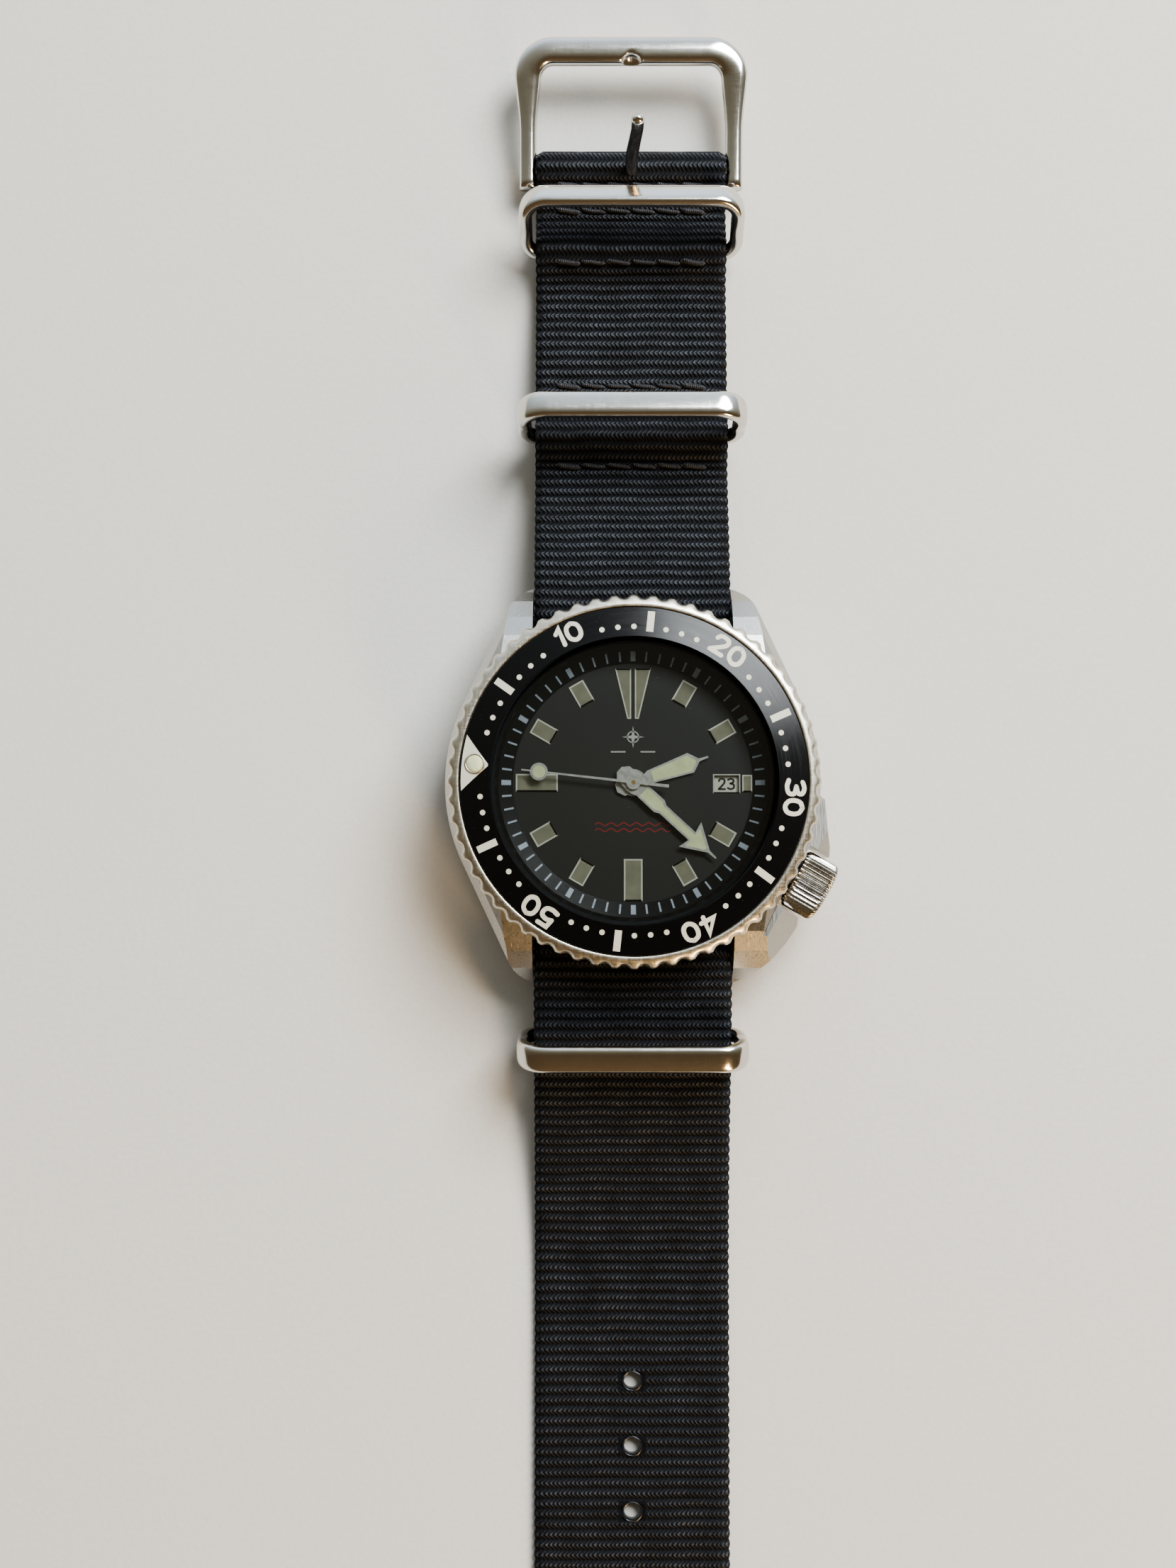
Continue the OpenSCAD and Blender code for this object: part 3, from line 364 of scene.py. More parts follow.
NODE_MATERIAL = {
    "brushed": ("mid_case", "case_back"),
    "bright": ("crown_tube", "buckle_bar"),
    "wire": ("spring_bars", "click_spring", "stem", "clutch_wheel"),
    "crown_steel": ("crown",),
    "rubber": ("case_back_gasket", "crystal_gasket", "crown_gasket"),
    "glass": ("crystal",),
    "ring": ("chapter_ring",),
    "dial": ("dial",),
    "date": ("date_ring",),
    "plastic": ("movement_ring",),
    "plate": ("main_plate",),
    "bridge": ("train_bridge", "balance_cock"),
    "rotor": ("rotor",),
    "ruby": ("jewels",),
    "blued": ("bridge_screws", "hairspring"),
    "spring": ("mainspring", "pallet_fork", "escape_wheel"),
    "insert": ("bezel_insert",),
    "pearl": ("bezel_pearl",),
    "marker": ("hour_markers",),
    "brass": ("hour_wheel", "minute_wheel", "cannon_pinion", "centre_wheel", "third_wheel",
              "fourth_wheel", "barrel", "balance_wheel"),
    "hand": ("hour_hand", "minute_hand", "second_hand"),
    "hand_lume": ("hour_hand_lume", "minute_hand_lume", "second_hand_lume"),
}
EDGE_BREAK = {"mid_case": 0.16, "case_back": 0.1, "bezel_insert": 0.05, "crystal": 0.12,
              "hour_hand": 0.04, "minute_hand": 0.04, "second_hand": 0.03, "rotor": 0.08}

for kind, names in NODE_MATERIAL.items():
    for name in names:
        node = frame["nodes"][name]
        node.data.materials.clear()
        node.data.materials.append(M[kind])
for name, width in EDGE_BREAK.items():
    bevel = frame["nodes"][name].modifiers.new("edge_break", "BEVEL")
    bevel.width = width * MM
    bevel.segments = 2
    bevel.limit_method = "ANGLE"
    bevel.angle_limit = math.radians(28)
    bevel.harden_normals = True

# ---------------------------------------------------------------- mesh making


def make(name, points, faces, material, body=None, flat_angle=35.0):
    """A mesh piece from points in millimetres, riding on a body when one is given."""
    mesh = bpy.data.meshes.new(name)
    mesh.from_pydata([tuple(c * MM for c in p) for p in points], [], faces)
    mesh.materials.append(M[material])
    mesh.shade_smooth()
    mesh.set_sharp_from_angle(angle=math.radians(flat_angle))
    piece = bpy.data.objects.new(name, mesh)
    bpy.context.scene.collection.objects.link(piece)
    if body:
        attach(piece, body)
    return piece


def skin(loops, closed_path=False, caps=True):
    """Faces over a row of loops that all have the same number of points."""
    n, count = len(loops[0]), len(loops)
    points = [p for loop in loops for p in loop]
    faces = []
    for i in range(count if closed_path else count - 1):
        a, b = i * n, (i + 1) % count * n
        for j in range(n):
            k = (j + 1) % n
            faces.append((a + j, a + k, b + k, b + j))
    if caps and not closed_path:
        faces.append(tuple(range(n - 1, -1, -1)))
        faces.append(tuple((count - 1) * n + j for j in range(n)))
    return points, faces


def arc(centre, radius, start, end, steps=8):
    """Points on an arc, in degrees."""
    angles = (math.radians(start + (end - start) * i / steps) for i in range(steps + 1))
    return [(centre[0] + radius * math.cos(a), centre[1] + radius * math.sin(a)) for a in angles]


def curve(points, steps=6):
    """A Catmull-Rom curve through 2-D points."""
    last = len(points) - 1
    made = []
    for i in range(last):
        a, b = points[max(i - 1, 0)], points[i]
        c, d = points[i + 1], points[min(i + 2, last)]
        for j in range(steps):
            t = j / steps
            made.append(tuple(
                0.5 * (2 * q + (r - p) * t + (2 * p - 5 * q + 4 * r - s) * t * t
                       + (3 * q - p - 3 * r + s) * t ** 3)
                for p, q, r, s in zip(a, b, c, d)))
    return made + [points[-1]]


def spaced(points, step):
    """The same 2-D line with points a step apart, and its length."""
    lengths = [0.0]
    for p, q in zip(points, points[1:]):
        lengths.append(lengths[-1] + math.dist(p, q))
    count = max(1, round(lengths[-1] / step))
    made, i = [], 0
    for k in range(count + 1):
        s = lengths[-1] * k / count
        while i < len(points) - 2 and lengths[i + 1] < s:
            i += 1
        share = (s - lengths[i]) / max(lengths[i + 1] - lengths[i], 1e-9)
        made.append(tuple(p + (q - p) * share for p, q in zip(points[i], points[i + 1])))
    return made, lengths[-1]


def smoothed(points, passes):
    """The same line with its corners eased, ends kept."""
    for _ in range(passes):
        points = [points[0]] + [
            tuple((a + 2 * b + c) / 4 for a, b, c in zip(p, q, r))
            for p, q, r in zip(points, points[1:], points[2:])
        ] + [points[-1]]
    return points


# ---------------------------------------------------------------- strap

STRAP_W = node_box("strap_under_case")[1].x * 2
STRAP_T = node_box("under_strip_case")[1].z
RIB_DEPTH = 0.27
FINE = 0.2  # spacing of the points on the strap's middle lines
STEPS = 8  # points along each rib
ACROSS = 22  # points across the strap
BAR = joint_at("strap_bend_short").yz
BUCKLE = joint_at("buckle_swing").yz
KEEPERS = {name: joint_at(name + "_tilt").yz for name in ("keeper_buckle", "keeper_middle", "keeper_tail")}
TAIL_FOLDS = [joint_at("strap_fold_tail_" + name).y for name in ("inner", "middle", "outer")]
TIP_Y = node_box("strap_tail_d")[0].y
LAYER = STRAP_T + 0.05
LOW_Z = STRAP_T / 2
MID_Z = LAYER + LOW_Z
WRAP_R = 1.65  # middle of the strap where it passes over a spring bar
TURN_UP_R = 1.95
LOOP_R = 1.6  # middle of the strap's loop round the buckle bar
TAIL_LOOP_R = 1.5  # middle of the under strip's loop round the tail keeper
HOLE_PITCH = 7.3
FIRST_HOLE = -67.7
HOLE_R = 1.05
HOLES = 10


def over_bar(side):
    """From under the case up and over a spring bar; side is 1 at 12 o'clock and -1 at 6."""
    turn = BAR[0] - WRAP_R - TURN_UP_R
    half = arc((turn, MID_Z + TURN_UP_R), TURN_UP_R, -90, 0, 10) + arc(tuple(BAR), WRAP_R, 180, 80, 14)
    return [(side * y, z) for y, z in half]


short_end = [(35.2, MID_Z), (46.8, MID_Z), (49.3, 1.4), (50.8, 1.05), (54, 0.72), (60, 0.7), (69.6, 0.72)]
loop = arc(tuple(BUCKLE), LOOP_R, -80, 80, 16)
bump_1, bump_2 = KEEPERS["keeper_buckle"], KEEPERS["keeper_middle"]
upper = curve([
    (71.4, 4.2), (69.5, 3.2), (66.4, 2.3), (64.4, 2.95), (bump_1[0], 3.9), (60.3, 2.85), (58.6, 2.1),
    (55, 2.25), (50.7, 2.85), (44.6, 3.45), (42.2, 4.35), (bump_2[0], 5.1), (38.4, 4.35),
    (36.4, 3.45), (30, 5.2), (25, 6.6), (21, 7.42)])
tail = curve([(-21, 7.42), (-25, 6.9), (-30, 5.9), (-36, 4.1), (-42, 2.45), (-48, 1.35), (-54, 0.8),
              (-60, LOW_Z), (-70, LOW_Z)])
main_line = (short_end + loop + upper + over_bar(1)[::-1] + over_bar(-1) + tail
             + [(-80, LOW_Z), (TIP_Y, LOW_Z)])
main_line = smoothed(spaced(main_line, FINE)[0], 3)

tail_keeper = KEEPERS["keeper_tail"]
under_line = ([(46.5, LOW_Z), (-26, LOW_Z)]
              + arc(tuple(tail_keeper), TAIL_LOOP_R, -90, -270, 14)
              + curve([(-26.6, 3.3), (-25, 2.2), (-23.4, MID_Z)]))
under_line = smoothed(spaced(under_line, FINE)[0], 3)


def ribbed(line, start, end, tip):
    """Loops of points round the webbing, and across, along and crest for each point."""
    length = spaced(line, RIB)[1]
    fine = spaced(line, RIB / STEPS)[0]
    last = len(fine) - 1
    loops, values = [], []
    for i in range(round(start / length * last), round(end / length * last) + 1):
        y, z = fine[i]
        before, after = fine[max(i - 1, 0)], fine[min(i + 1, last)]
        d = Vector((after[0] - before[0], after[1] - before[1])).normalized()
        s = length * i / last
        half = STRAP_W / 2
        if tip:
            past = max(0.0, (TIP_Y + TIP_LEN - y) / (TIP_LEN + 0.01))
            half *= math.sqrt(max(0.0004, 1 - past ** 2))
        ring = []
        for face in (1, -1):
            for j in range(ACROSS + 1):
                u = -1 + 2 * j / ACROSS
                u = math.copysign(abs(u) ** 0.8, u) * face
                wander = 0.13 * noise.noise((u * 2.3, s * 0.11, 3.1))
                wander += 0.07 * noise.noise((u * 9, s * 0.5, 9))
                ridge = abs(math.sin(math.pi * (s / RIB + wander))) ** 0.9
                edge = min(1.0, (1 - abs(u)) / 0.05)
                thick = (STRAP_T / 2 - RIB_DEPTH * (1 - ridge)) * (0.3 + 0.7 * math.sqrt(edge)) * face
                x = u * (half - 0.16 * (1 - ridge))
                ring.append((x, y - d[1] * thick, z + d[0] * thick))
                values.append((x + 0.2 * face, s, ridge))
        loops.append(ring)
    return loops, values


def webbing(name, line, start, end, tip=False):
    """One length of ribbed webbing."""
    loops, values = ribbed(line, start, end, tip)
    piece = make(name, *skin(loops), "nylon", flat_angle=70.0)
    for index, key in enumerate(("across", "along", "crest")):
        layer = piece.data.attributes.new(key, "FLOAT", "POINT")
        layer.data.foreach_set("value", [v[index] for v in values])
    return piece


def passing(line, y, after=0.0):
    """Distance along the line where it passes y, past a given distance."""
    s = 0.0
    for p, q in zip(line, line[1:]):
        if s >= after and min(p[0], q[0]) <= y <= max(p[0], q[0]):
            return s
        s += math.dist(p, q)
    return s


def groove(s):
    """The nearest groove between two ribs."""
    return round(s / RIB) * RIB


def bend(piece, a, b, start_y, end_y, z):
    """Bakes a piece's placement into its mesh; the two bodies, the fold's two places and the height are not
    used.
    """
    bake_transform(piece)


def apply_modifiers(piece):
    """Keep a piece's modified mesh as its own."""
    evaluated = piece.evaluated_get(bpy.context.evaluated_depsgraph_get())
    mesh = bpy.data.meshes.new_from_object(evaluated)
    piece.modifiers.clear()
    piece.data = mesh


def punch(piece, holes):
    """Cut round holes through a webbing piece."""
    sides = 28
    for y in holes:
        ring = [(HOLE_R * math.cos(a), y + HOLE_R * math.sin(a))
                for a in (math.tau * k / sides for k in range(sides))]
        cutter = make("cutter", *skin([[(*p, -1.0) for p in ring], [(*p, STRAP_T + 1) for p in ring]]),
                      "melted")
        cut = piece.modifiers.new("hole", "BOOLEAN")
        cut.object = cutter
        cut.solver = "EXACT"
        apply_modifiers(piece)
        bpy.data.objects.remove(cutter)


def hole_rims(name, holes):
    """Melted lips round the holes."""
    points, faces = [], []
    for y in holes:
        loops = []
        for k in range(32):
            a = math.tau * k / 32
            swell = 0.04 * noise.noise((3 * math.cos(a), 3 * math.sin(a), y))
            loop = []
            for m in range(12):
                t = math.tau * m / 12
                r = HOLE_R + 0.02 + swell + 0.17 * math.cos(t)
                high = math.copysign(abs(math.sin(t)) ** 0.35, math.sin(t))
                loop.append((r * math.cos(a), y + r * math.sin(a), LOW_Z + (STRAP_T / 2 + 0.02) * high))
            loops.append(loop)
        more, sides = skin(loops, closed_path=True)
        faces += [tuple(len(points) + v for v in side) for side in sides]
        points += more
    return make(name, points, faces, "melted")


def stitches(name, body, y):
    """A row of long stitches across the upper face of the short end, with thicker knots at both ends."""
    s = passing(main_line, y, UPPER_FROM)
    fine = spaced(main_line, FINE)[0]
    i = round(s / FINE)
    (y0, z0), (y1, z1) = fine[i - 1], fine[i + 1]
    d = Vector((y1 - y0, z1 - z0)).normalized()
    points, faces = [], []
    for k in range(STITCHES):
        middle = (k - (STITCHES - 1) / 2) * STITCH_PITCH
        fat = 1.35 if k in (0, STITCHES - 1) else 1.0
        loops = []
        for m in range(13):
            t = -1 + m / 6
            lift = STRAP_T / 2 + 0.16 * (1 - t ** 4) - 0.1
            thick = 0.25 * fat * math.sqrt(max(0.03, 1 - t ** 6))
            x = middle + t * STITCH_PITCH * 0.47
            skew = 0.16 * t + 0.1 * noise.noise((k * 3.7, y, t))
            cy = fine[i][0] + d[1] * lift + d[0] * skew
            cz = fine[i][1] - d[0] * lift + d[1] * skew
            ring = (math.tau * n / 10 for n in range(10))
            loops.append([(x, cy + thick * math.cos(a), cz + thick * math.sin(a)) for a in ring])
        more, sides = skin(loops)
        faces += [tuple(len(points) + v for v in side) for side in sides]
        points += more
    return make(name, points, faces, "thread", body)


TIP_LEN = 9.0
STITCHES = 6
STITCH_PITCH = 2.9
length = spaced(main_line, RIB)[1]
UPPER_FROM = passing(main_line, BUCKLE[0] + 1)  # past here the line runs back towards the case
under_length = spaced(under_line, RIB)[1]
holes = [FIRST_HOLE - k * HOLE_PITCH for k in range(HOLES)]
middle_cut = (holes[1] + holes[2]) / 2
inner_cut = -55.0
cut_places = (33.0, 0.0, -36.0, inner_cut, middle_cut)
cuts = [0.0] + [groove(passing(main_line, y, UPPER_FROM)) for y in cut_places]
cuts.append(length)

pieces = [
    ("strap_short_end", "strap_short_a", "strap_short_b", 48.0, 52.0, 2.1, False),
    ("strap_over_bar_12", "case", "strap_short_a", 18.2, 20.6, 6.0, False),
    ("strap_over_bar_6", "case", "strap_tail_a", -18.2, -20.6, 6.0, False),
    ("strap_tail_inner", "strap_tail_a", "strap_tail_b",
     TAIL_FOLDS[0] + 2.5, TAIL_FOLDS[0] - 2.5, 2.4, False),
    ("strap_tail_middle", "strap_tail_b", "strap_tail_c", TAIL_FOLDS[1] + 2.5, TAIL_FOLDS[1] - 2.5, LOW_Z,
     False),
    ("strap_tail_outer", "strap_tail_c", "strap_tail_d", TAIL_FOLDS[2] + 2.5, TAIL_FOLDS[2] - 2.5, LOW_Z,
     True),
]
for (name, a, b, start_y, end_y, z, tip), start, end in zip(pieces, cuts, cuts[1:]):
    piece = webbing(name, main_line, start, end, tip)
    inside = [y for y in holes if (middle_cut < y < inner_cut and name == "strap_tail_middle")
              or (y < middle_cut and tip)]
    if inside:
        punch(piece, inside)
        rims = hole_rims(name + "_rims", inside)
        bend(rims, a, b, start_y, end_y, z)
    bend(piece, a, b, start_y, end_y, z)
under_cut = groove(passing(under_line, 0.0))
for name, b, start, end, side in (
    ("strap_under_strip_12", "strap_short_a", 0.0, under_cut, 1),
    ("strap_under_strip_6", "strap_tail_a", under_cut, under_length, -1),
):
    piece = webbing(name, under_line, start, end)
    bend(piece, "case", b, side * 17.4, side * 21.5, LOW_Z)
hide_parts("strap_short_b")
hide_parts("strap_short_a", "strap_under_case")
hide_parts("strap_tail_a")
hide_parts("strap_tail_b")
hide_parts("strap_tail_c")
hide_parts("strap_tail_d")
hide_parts("under_strip_short", "under_strip_case")
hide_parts("under_strip_tail")

for body, y in (("strap_short_b", 69.9), ("strap_short_b", 67.0), ("strap_short_b", 61.0),
                ("strap_short_a", 45.9), ("strap_short_a", 36.8)):
    stitches(f"stitches_{round(y)}", body, y)

# ---------------------------------------------------------------- keepers and buckle


def squircle(half_w, half_h, power=2.6, count=28):
    """A rounded section: (along the width, along the height) points."""
    made = []
    for k in range(count):
        a = math.tau * k / count
        c, s = math.cos(a), math.sin(a)
        made.append((half_w * math.copysign(abs(c) ** (2 / power), c),
                     half_h * math.copysign(abs(s) ** (2 / power), s)))
    return made


def tilted(points, at, degrees):
    """Points turned about the cross axis and set at a (y, z) place."""
    c, s = math.cos(math.radians(degrees)), math.sin(math.radians(degrees))
    return [(x, at[0] + y * c - z * s, at[1] + y * s + z * c) for x, y, z in points]


def rounded_box(half_w, low, high, low_r, high_r, steps=10):
    """A rounded rectangle of (x, z) points, anticlockwise, with its own radius below and above."""
    corners = ((half_w - low_r, low + low_r, low_r, -90), (half_w - high_r, high - high_r, high_r, 0),
               (-half_w + high_r, high - high_r, high_r, 90), (-half_w + low_r, low + low_r, low_r, 180))
    points = []
    for x, z, r, start in corners:
        points += arc((x, z), r, start, start + 90, steps)
    points.append(points[0])
    return spaced(points, 0.45)[0][:-1]


KEEPER_TILT = {"keeper_buckle": -33.0, "keeper_middle": -13.0, "keeper_tail": 16.0}
KEEPER_HALF = 12.2
KEEPER_TOP = 8.0
KEEPER_THICK = 1.56

for name, degrees in KEEPER_TILT.items():
    path = rounded_box(KEEPER_HALF, 0.0, KEEPER_TOP, 2.0, 2.5)
    loops = []
    for k, (x, z) in enumerate(path):
        p, q = path[k - 1], path[(k + 1) % len(path)]
        d = Vector((q[0] - p[0], q[1] - p[1])).normalized()
        share = min(1.0, max(0.0, (z - 2.6) / 3.4))
        half = 0.8 + 0.75 * share * share * (3 - 2 * share)
        section = squircle(half, KEEPER_THICK / 2, 2.5 + 0.5 * share)
        loops.append(tilted([(x + d[1] * h, w, z - d[0] * h) for w, h in section], KEEPERS[name], degrees))
    ring = make(name + "_ring", *skin(loops, closed_path=True), "bright", name, 60.0)
    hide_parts(name)

BUCKLE_HALF = 12.0
BUCKLE_START = 69.8
BUCKLE_FRONT = node_box("buckle_frame")[1].y - 1.65  # middle of the front bar
BUCKLE_CORNER = 2.9
NOTCH = Vector((0.0, BUCKLE_FRONT - 1.85, 6.2))
NOTCH_R = 1.3


def buckle_height(y):
    """Height of the frame's middle: it rises from the bar and arches a little."""
    return 2.35 + (y - BUCKLE_START) / (BUCKLE_FRONT - BUCKLE_START) * 2.55 + 0.012 * (y - 78) ** 2 * 0.4


corner = (BUCKLE_HALF - BUCKLE_CORNER, BUCKLE_FRONT - BUCKLE_CORNER)
half_path = [(BUCKLE_HALF, BUCKLE_START), (BUCKLE_HALF, corner[1])] + arc(corner, BUCKLE_CORNER, 0, 90, 12)
path = spaced(half_path + [(-x, y) for x, y in half_path[::-1]], 0.22)[0]
loops = []
for k, (x, y) in enumerate(path):
    p, q = path[max(k - 1, 0)], path[min(k + 1, len(path) - 1)]
    d = Vector((q[0] - p[0], q[1] - p[1])).normalized()
    share = min(1.0, max(0.0, (y - 76.0) / 8.0))
    share = share * share * (3 - 2 * share)
    half = 1.0 + 0.6 * share
    thick = 0.98 + 0.07 * share
    end = min(1.0, (y - BUCKLE_START + 0.25) / 1.0)
    thick *= math.sqrt(1 - (1 - end) ** 2)
    loop = []
    for w, h in squircle(half, thick, 2.7):
        point = Vector((x + d[1] * w, y - d[0] * w, buckle_height(y) + h))
        from_notch = point - NOTCH
        if from_notch.length < NOTCH_R:
            point = NOTCH + from_notch.normalized() * NOTCH_R
        loop.append(tuple(point))
    loops.append(loop)
buckle = make("buckle_ring", *skin(loops), "bright", "buckle", 60.0)
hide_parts("buckle_frame")

TONGUE_UP = 70.0
TONGUE_EYE_R = 1.29  # middle of the tongue's eye round the bar
TONGUE_STEP = 0.25
blade = arc((0, 0), TONGUE_EYE_R, 380, 90, 22) + curve(
    [(0.9, 1.22), (3.0, 1.3), (6.0, 1.6), (9.0, 2.35), (12.2, 3.1)], 8)
blade = smoothed(spaced(blade, TONGUE_STEP)[0], 4)
loops = []
for k, (y, z) in enumerate(blade):
    p, q = blade[max(k - 1, 0)], blade[min(k + 1, len(blade) - 1)]
    d = Vector((q[0] - p[0], q[1] - p[1])).normalized()
    rest = len(blade) - 1 - k
    tip = math.sqrt(max(0.02, 1 - max(0.0, 1 - rest * TONGUE_STEP / 0.6) ** 2))
    share = min(1.0, k / 30)
    half, thick = (0.9 - 0.15 * share) * tip, (0.36 + 0.19 * share) * tip
    sway = 0.5 * min(1.0, max(0.0, (y - 4.0) / 6.0))
    loops.append(tilted([(w + sway, y - d[1] * h, z + d[0] * h) for w, h in squircle(half, thick, 2.5, 20)],
                        BUCKLE, TONGUE_UP))
tongue = make("tongue_blade", *skin(loops), "bright", "buckle_tongue", 60.0)
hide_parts("buckle_tongue")

# ---------------------------------------------------------------- bezel

BEZEL_TEETH = 60
BEZEL_TURNED = 84.0  # anticlockwise turn of the zero mark from 12 o'clock
BEZEL_LOW = node_box("bezel")[0].z
BEZEL_R = 20.5
INSERT_IN, INSERT_IN_Z = 15.75, node_box("bezel_insert")[1].z
INSERT_OUT, INSERT_OUT_Z = 19.0, 14.13
SCALLOP_DEPTH = 0.42
PEARL_R = 17.43

profile = [(15.9, 13.72), (17.1, 13.72), (17.1, BEZEL_LOW), (20.0, BEZEL_LOW), (20.3, BEZEL_LOW + 0.12),
           (20.48, BEZEL_LOW + 0.4), (BEZEL_R, 12.2), (BEZEL_R, 13.2), (20.46, 13.45), (20.36, 13.68),
           (20.2, 13.86), (19.98, 14.02), (19.7, 14.15), (19.45, 14.22), (19.2, 14.26), (19.12, 14.22),
           (19.12, 13.4), (15.9, 13.95)]
loops = []
per_tooth = 14  # sections in each scallop of the coin edge
for k in range(BEZEL_TEETH * per_tooth):
    a = math.tau * k / (BEZEL_TEETH * per_tooth) + math.radians(90 + BEZEL_TURNED)
    dent = max(0.0, math.cos(math.tau * (k / per_tooth + 0.5)) * 0.5 + 0.34) / 0.84
    loop = []
    for r, z in profile:
        share = min(1.0, max(0.0, (r - 19.75) / 0.6)) * min(1.0, max(0.0, (r - 19.75) / 0.3))
        bite = SCALLOP_DEPTH * share * (dent ** 0.8)
        loop.append(((r - bite) * math.cos(a), (r - bite) * math.sin(a), z))
    loops.append(loop)
bezel = make("bezel_ring", *skin(loops, closed_path=True), "worn", "bezel", 40.0)
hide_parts("bezel")


def slab(name, flat, faces, lay, material, body, low=-0.03, high=0.03):
    """A thin printed plate: 2-D points and faces laid on a surface by lay(u, v, height)."""
    faces = [face if doubled_area([flat[v] for v in face]) > 0 else face[::-1] for face in faces]
    n = len(flat)
    points = [lay(u, v, high) for u, v in flat] + [lay(u, v, low) for u, v in flat]
    edges = {(a, b) for face in faces for a, b in zip(face, face[1:] + face[:1])}
    sides = [(b, a, a + n, b + n) for a, b in edges if (b, a) not in edges]
    under = [tuple(v + n for v in face[::-1]) for face in faces]
    return make(name, points, [*faces, *under, *sorted(sides)], material, body, 30.0)


def doubled_area(outline):
    """Twice the signed area, positive when the outline runs anticlockwise."""
    return sum(a[0] * b[1] - b[0] * a[1] for a, b in zip(outline, outline[1:] + outline[:1]))


class Plates:
    """Collects 2-D points and faces for one slab."""

    def __init__(self):
        self.points, self.faces = [], []

    def polygon(self, outline):
        first = len(self.points)
        self.points += outline
        self.faces.append(tuple(range(first, first + len(outline))))

    def disc(self, x, y, r, count=20):
        self.polygon([(x + r * math.cos(math.tau * k / count), y + r * math.sin(math.tau * k / count))
                      for k in range(count)])

    def ring(self, x, y, r, width, count=40):
        circle = [(x + r * math.cos(math.tau * k / count), y + r * math.sin(math.tau * k / count))
                  for k in range(count + 1)]
        self.ribbon(circle, width, caps=False)

    def grid(self, rows):
        """Cells between rows of the same number of points."""
        first, n = len(self.points), len(rows[0])
        for row in rows:
            self.points += row
        for i in range(len(rows) - 1):
            for j in range(n - 1):
                a = first + i * n + j
                self.faces.append((a, a + 1, a + n + 1, a + n))

    def ribbon(self, line, width, caps=True):
        half = width / 2
        left, right = [], []
        last = len(line) - 1
        for i, (x, y) in enumerate(line):
            p, q = line[max(i - 1, 0)], line[min(i + 1, last)]
            d1 = Vector((x - p[0], y - p[1])) if i else Vector((q[0] - x, q[1] - y))
            d2 = Vector((q[0] - x, q[1] - y)) if i < last else d1
            d1, d2 = d1.normalized(), d2.normalized()
            d = (d1 + d2).normalized()
            reach = half / max(0.5, d.dot(d1))
            left.append((x - d[1] * reach, y + d[0] * reach))
            right.append((x + d[1] * reach, y - d[0] * reach))
        self.grid([right, left])
        if caps:
            for centre, toward in ((line[-1], line[-2]), (line[0], line[1])):
                start = math.degrees(math.atan2(centre[1] - toward[1], centre[0] - toward[0]))
                self.polygon(arc(centre, half, start - 90, start + 90, 6))

    def digits(self, text, x, y, height, stroke, gap=0.34, wide=1.0):
        """Rounded single-line figures centred on a point."""
        widths = [0.26 if c == "1" else 0.6 * wide for c in text]
        total = sum(w * height for w in widths) + gap * height * (len(text) - 1)
        at = x - total / 2
        for c, w in zip(text, widths):
            for rounded, points in FIGURES[c]:
                stretch = height * (1.0 if c == "1" else wide)
                line = [(at + u * stretch, y - height / 2 + v * height) for u, v in points]
                self.ribbon(curve(line, 5) if rounded else line, stroke)
            at += (w + gap) * height


SIX = [(0.5, 0.95), (0.26, 0.97), (0.07, 0.72), (0.0, 0.35), (0.08, 0.08), (0.3, 0.0), (0.53, 0.09),
       (0.6, 0.3), (0.52, 0.52), (0.3, 0.6), (0.04, 0.45)]
FIGURES = {
    "0": [(True, [(0.3, 1), (0.07, 0.84), (0, 0.5), (0.07, 0.16), (0.3, 0), (0.53, 0.16), (0.6, 0.5),
                  (0.53, 0.84), (0.3, 1)])],
    "1": [(False, [(0.0, 0.76), (0.26, 1), (0.26, 0)])],
    "2": [(True, [(0.02, 0.78), (0.1, 0.95), (0.3, 1.0), (0.52, 0.93), (0.57, 0.72), (0.42, 0.45),
                  (0.0, 0.0)]),
          (False, [(0.0, 0.0), (0.6, 0.0)])],
    "3": [(True, [(0.04, 0.9), (0.3, 1), (0.54, 0.9), (0.54, 0.66), (0.26, 0.54)]),
          (True, [(0.26, 0.54), (0.58, 0.43), (0.58, 0.12), (0.3, 0), (0.02, 0.1)])],
    "4": [(False, [(0.44, 0), (0.44, 1), (0.0, 0.27), (0.62, 0.27)])],
    "5": [(False, [(0.54, 1), (0.1, 1), (0.06, 0.54)]),
          (True, [(0.06, 0.54), (0.3, 0.62), (0.54, 0.53), (0.6, 0.31), (0.52, 0.08), (0.27, 0),
                  (0.0, 0.08)])],
    "6": [(True, SIX)],
    "7": [(False, [(0.0, 1), (0.6, 1), (0.2, 0)])],
    "8": [(True, [(0.3, 0.54), (0.08, 0.66), (0.08, 0.9), (0.3, 1), (0.52, 0.9), (0.52, 0.66), (0.3, 0.54),
                  (0.03, 0.4), (0.03, 0.12), (0.3, 0), (0.57, 0.12), (0.57, 0.4), (0.3, 0.54)])],
    "9": [(True, [(0.6 - u, 1 - v) for u, v in SIX])],
}


def on_insert(minute, radius):
    """Lays a print on the sloping insert: u clockwise and v outward from a minute and radius."""
    def lay(u, v, height):
        r = radius + v
        a = math.radians(90 + BEZEL_TURNED - 6 * minute) - u / r
        slope = (INSERT_IN_Z - INSERT_OUT_Z) / (INSERT_OUT - INSERT_IN)
        return (r * math.cos(a), r * math.sin(a), INSERT_IN_Z - (r - INSERT_IN) * slope + height)
    return lay


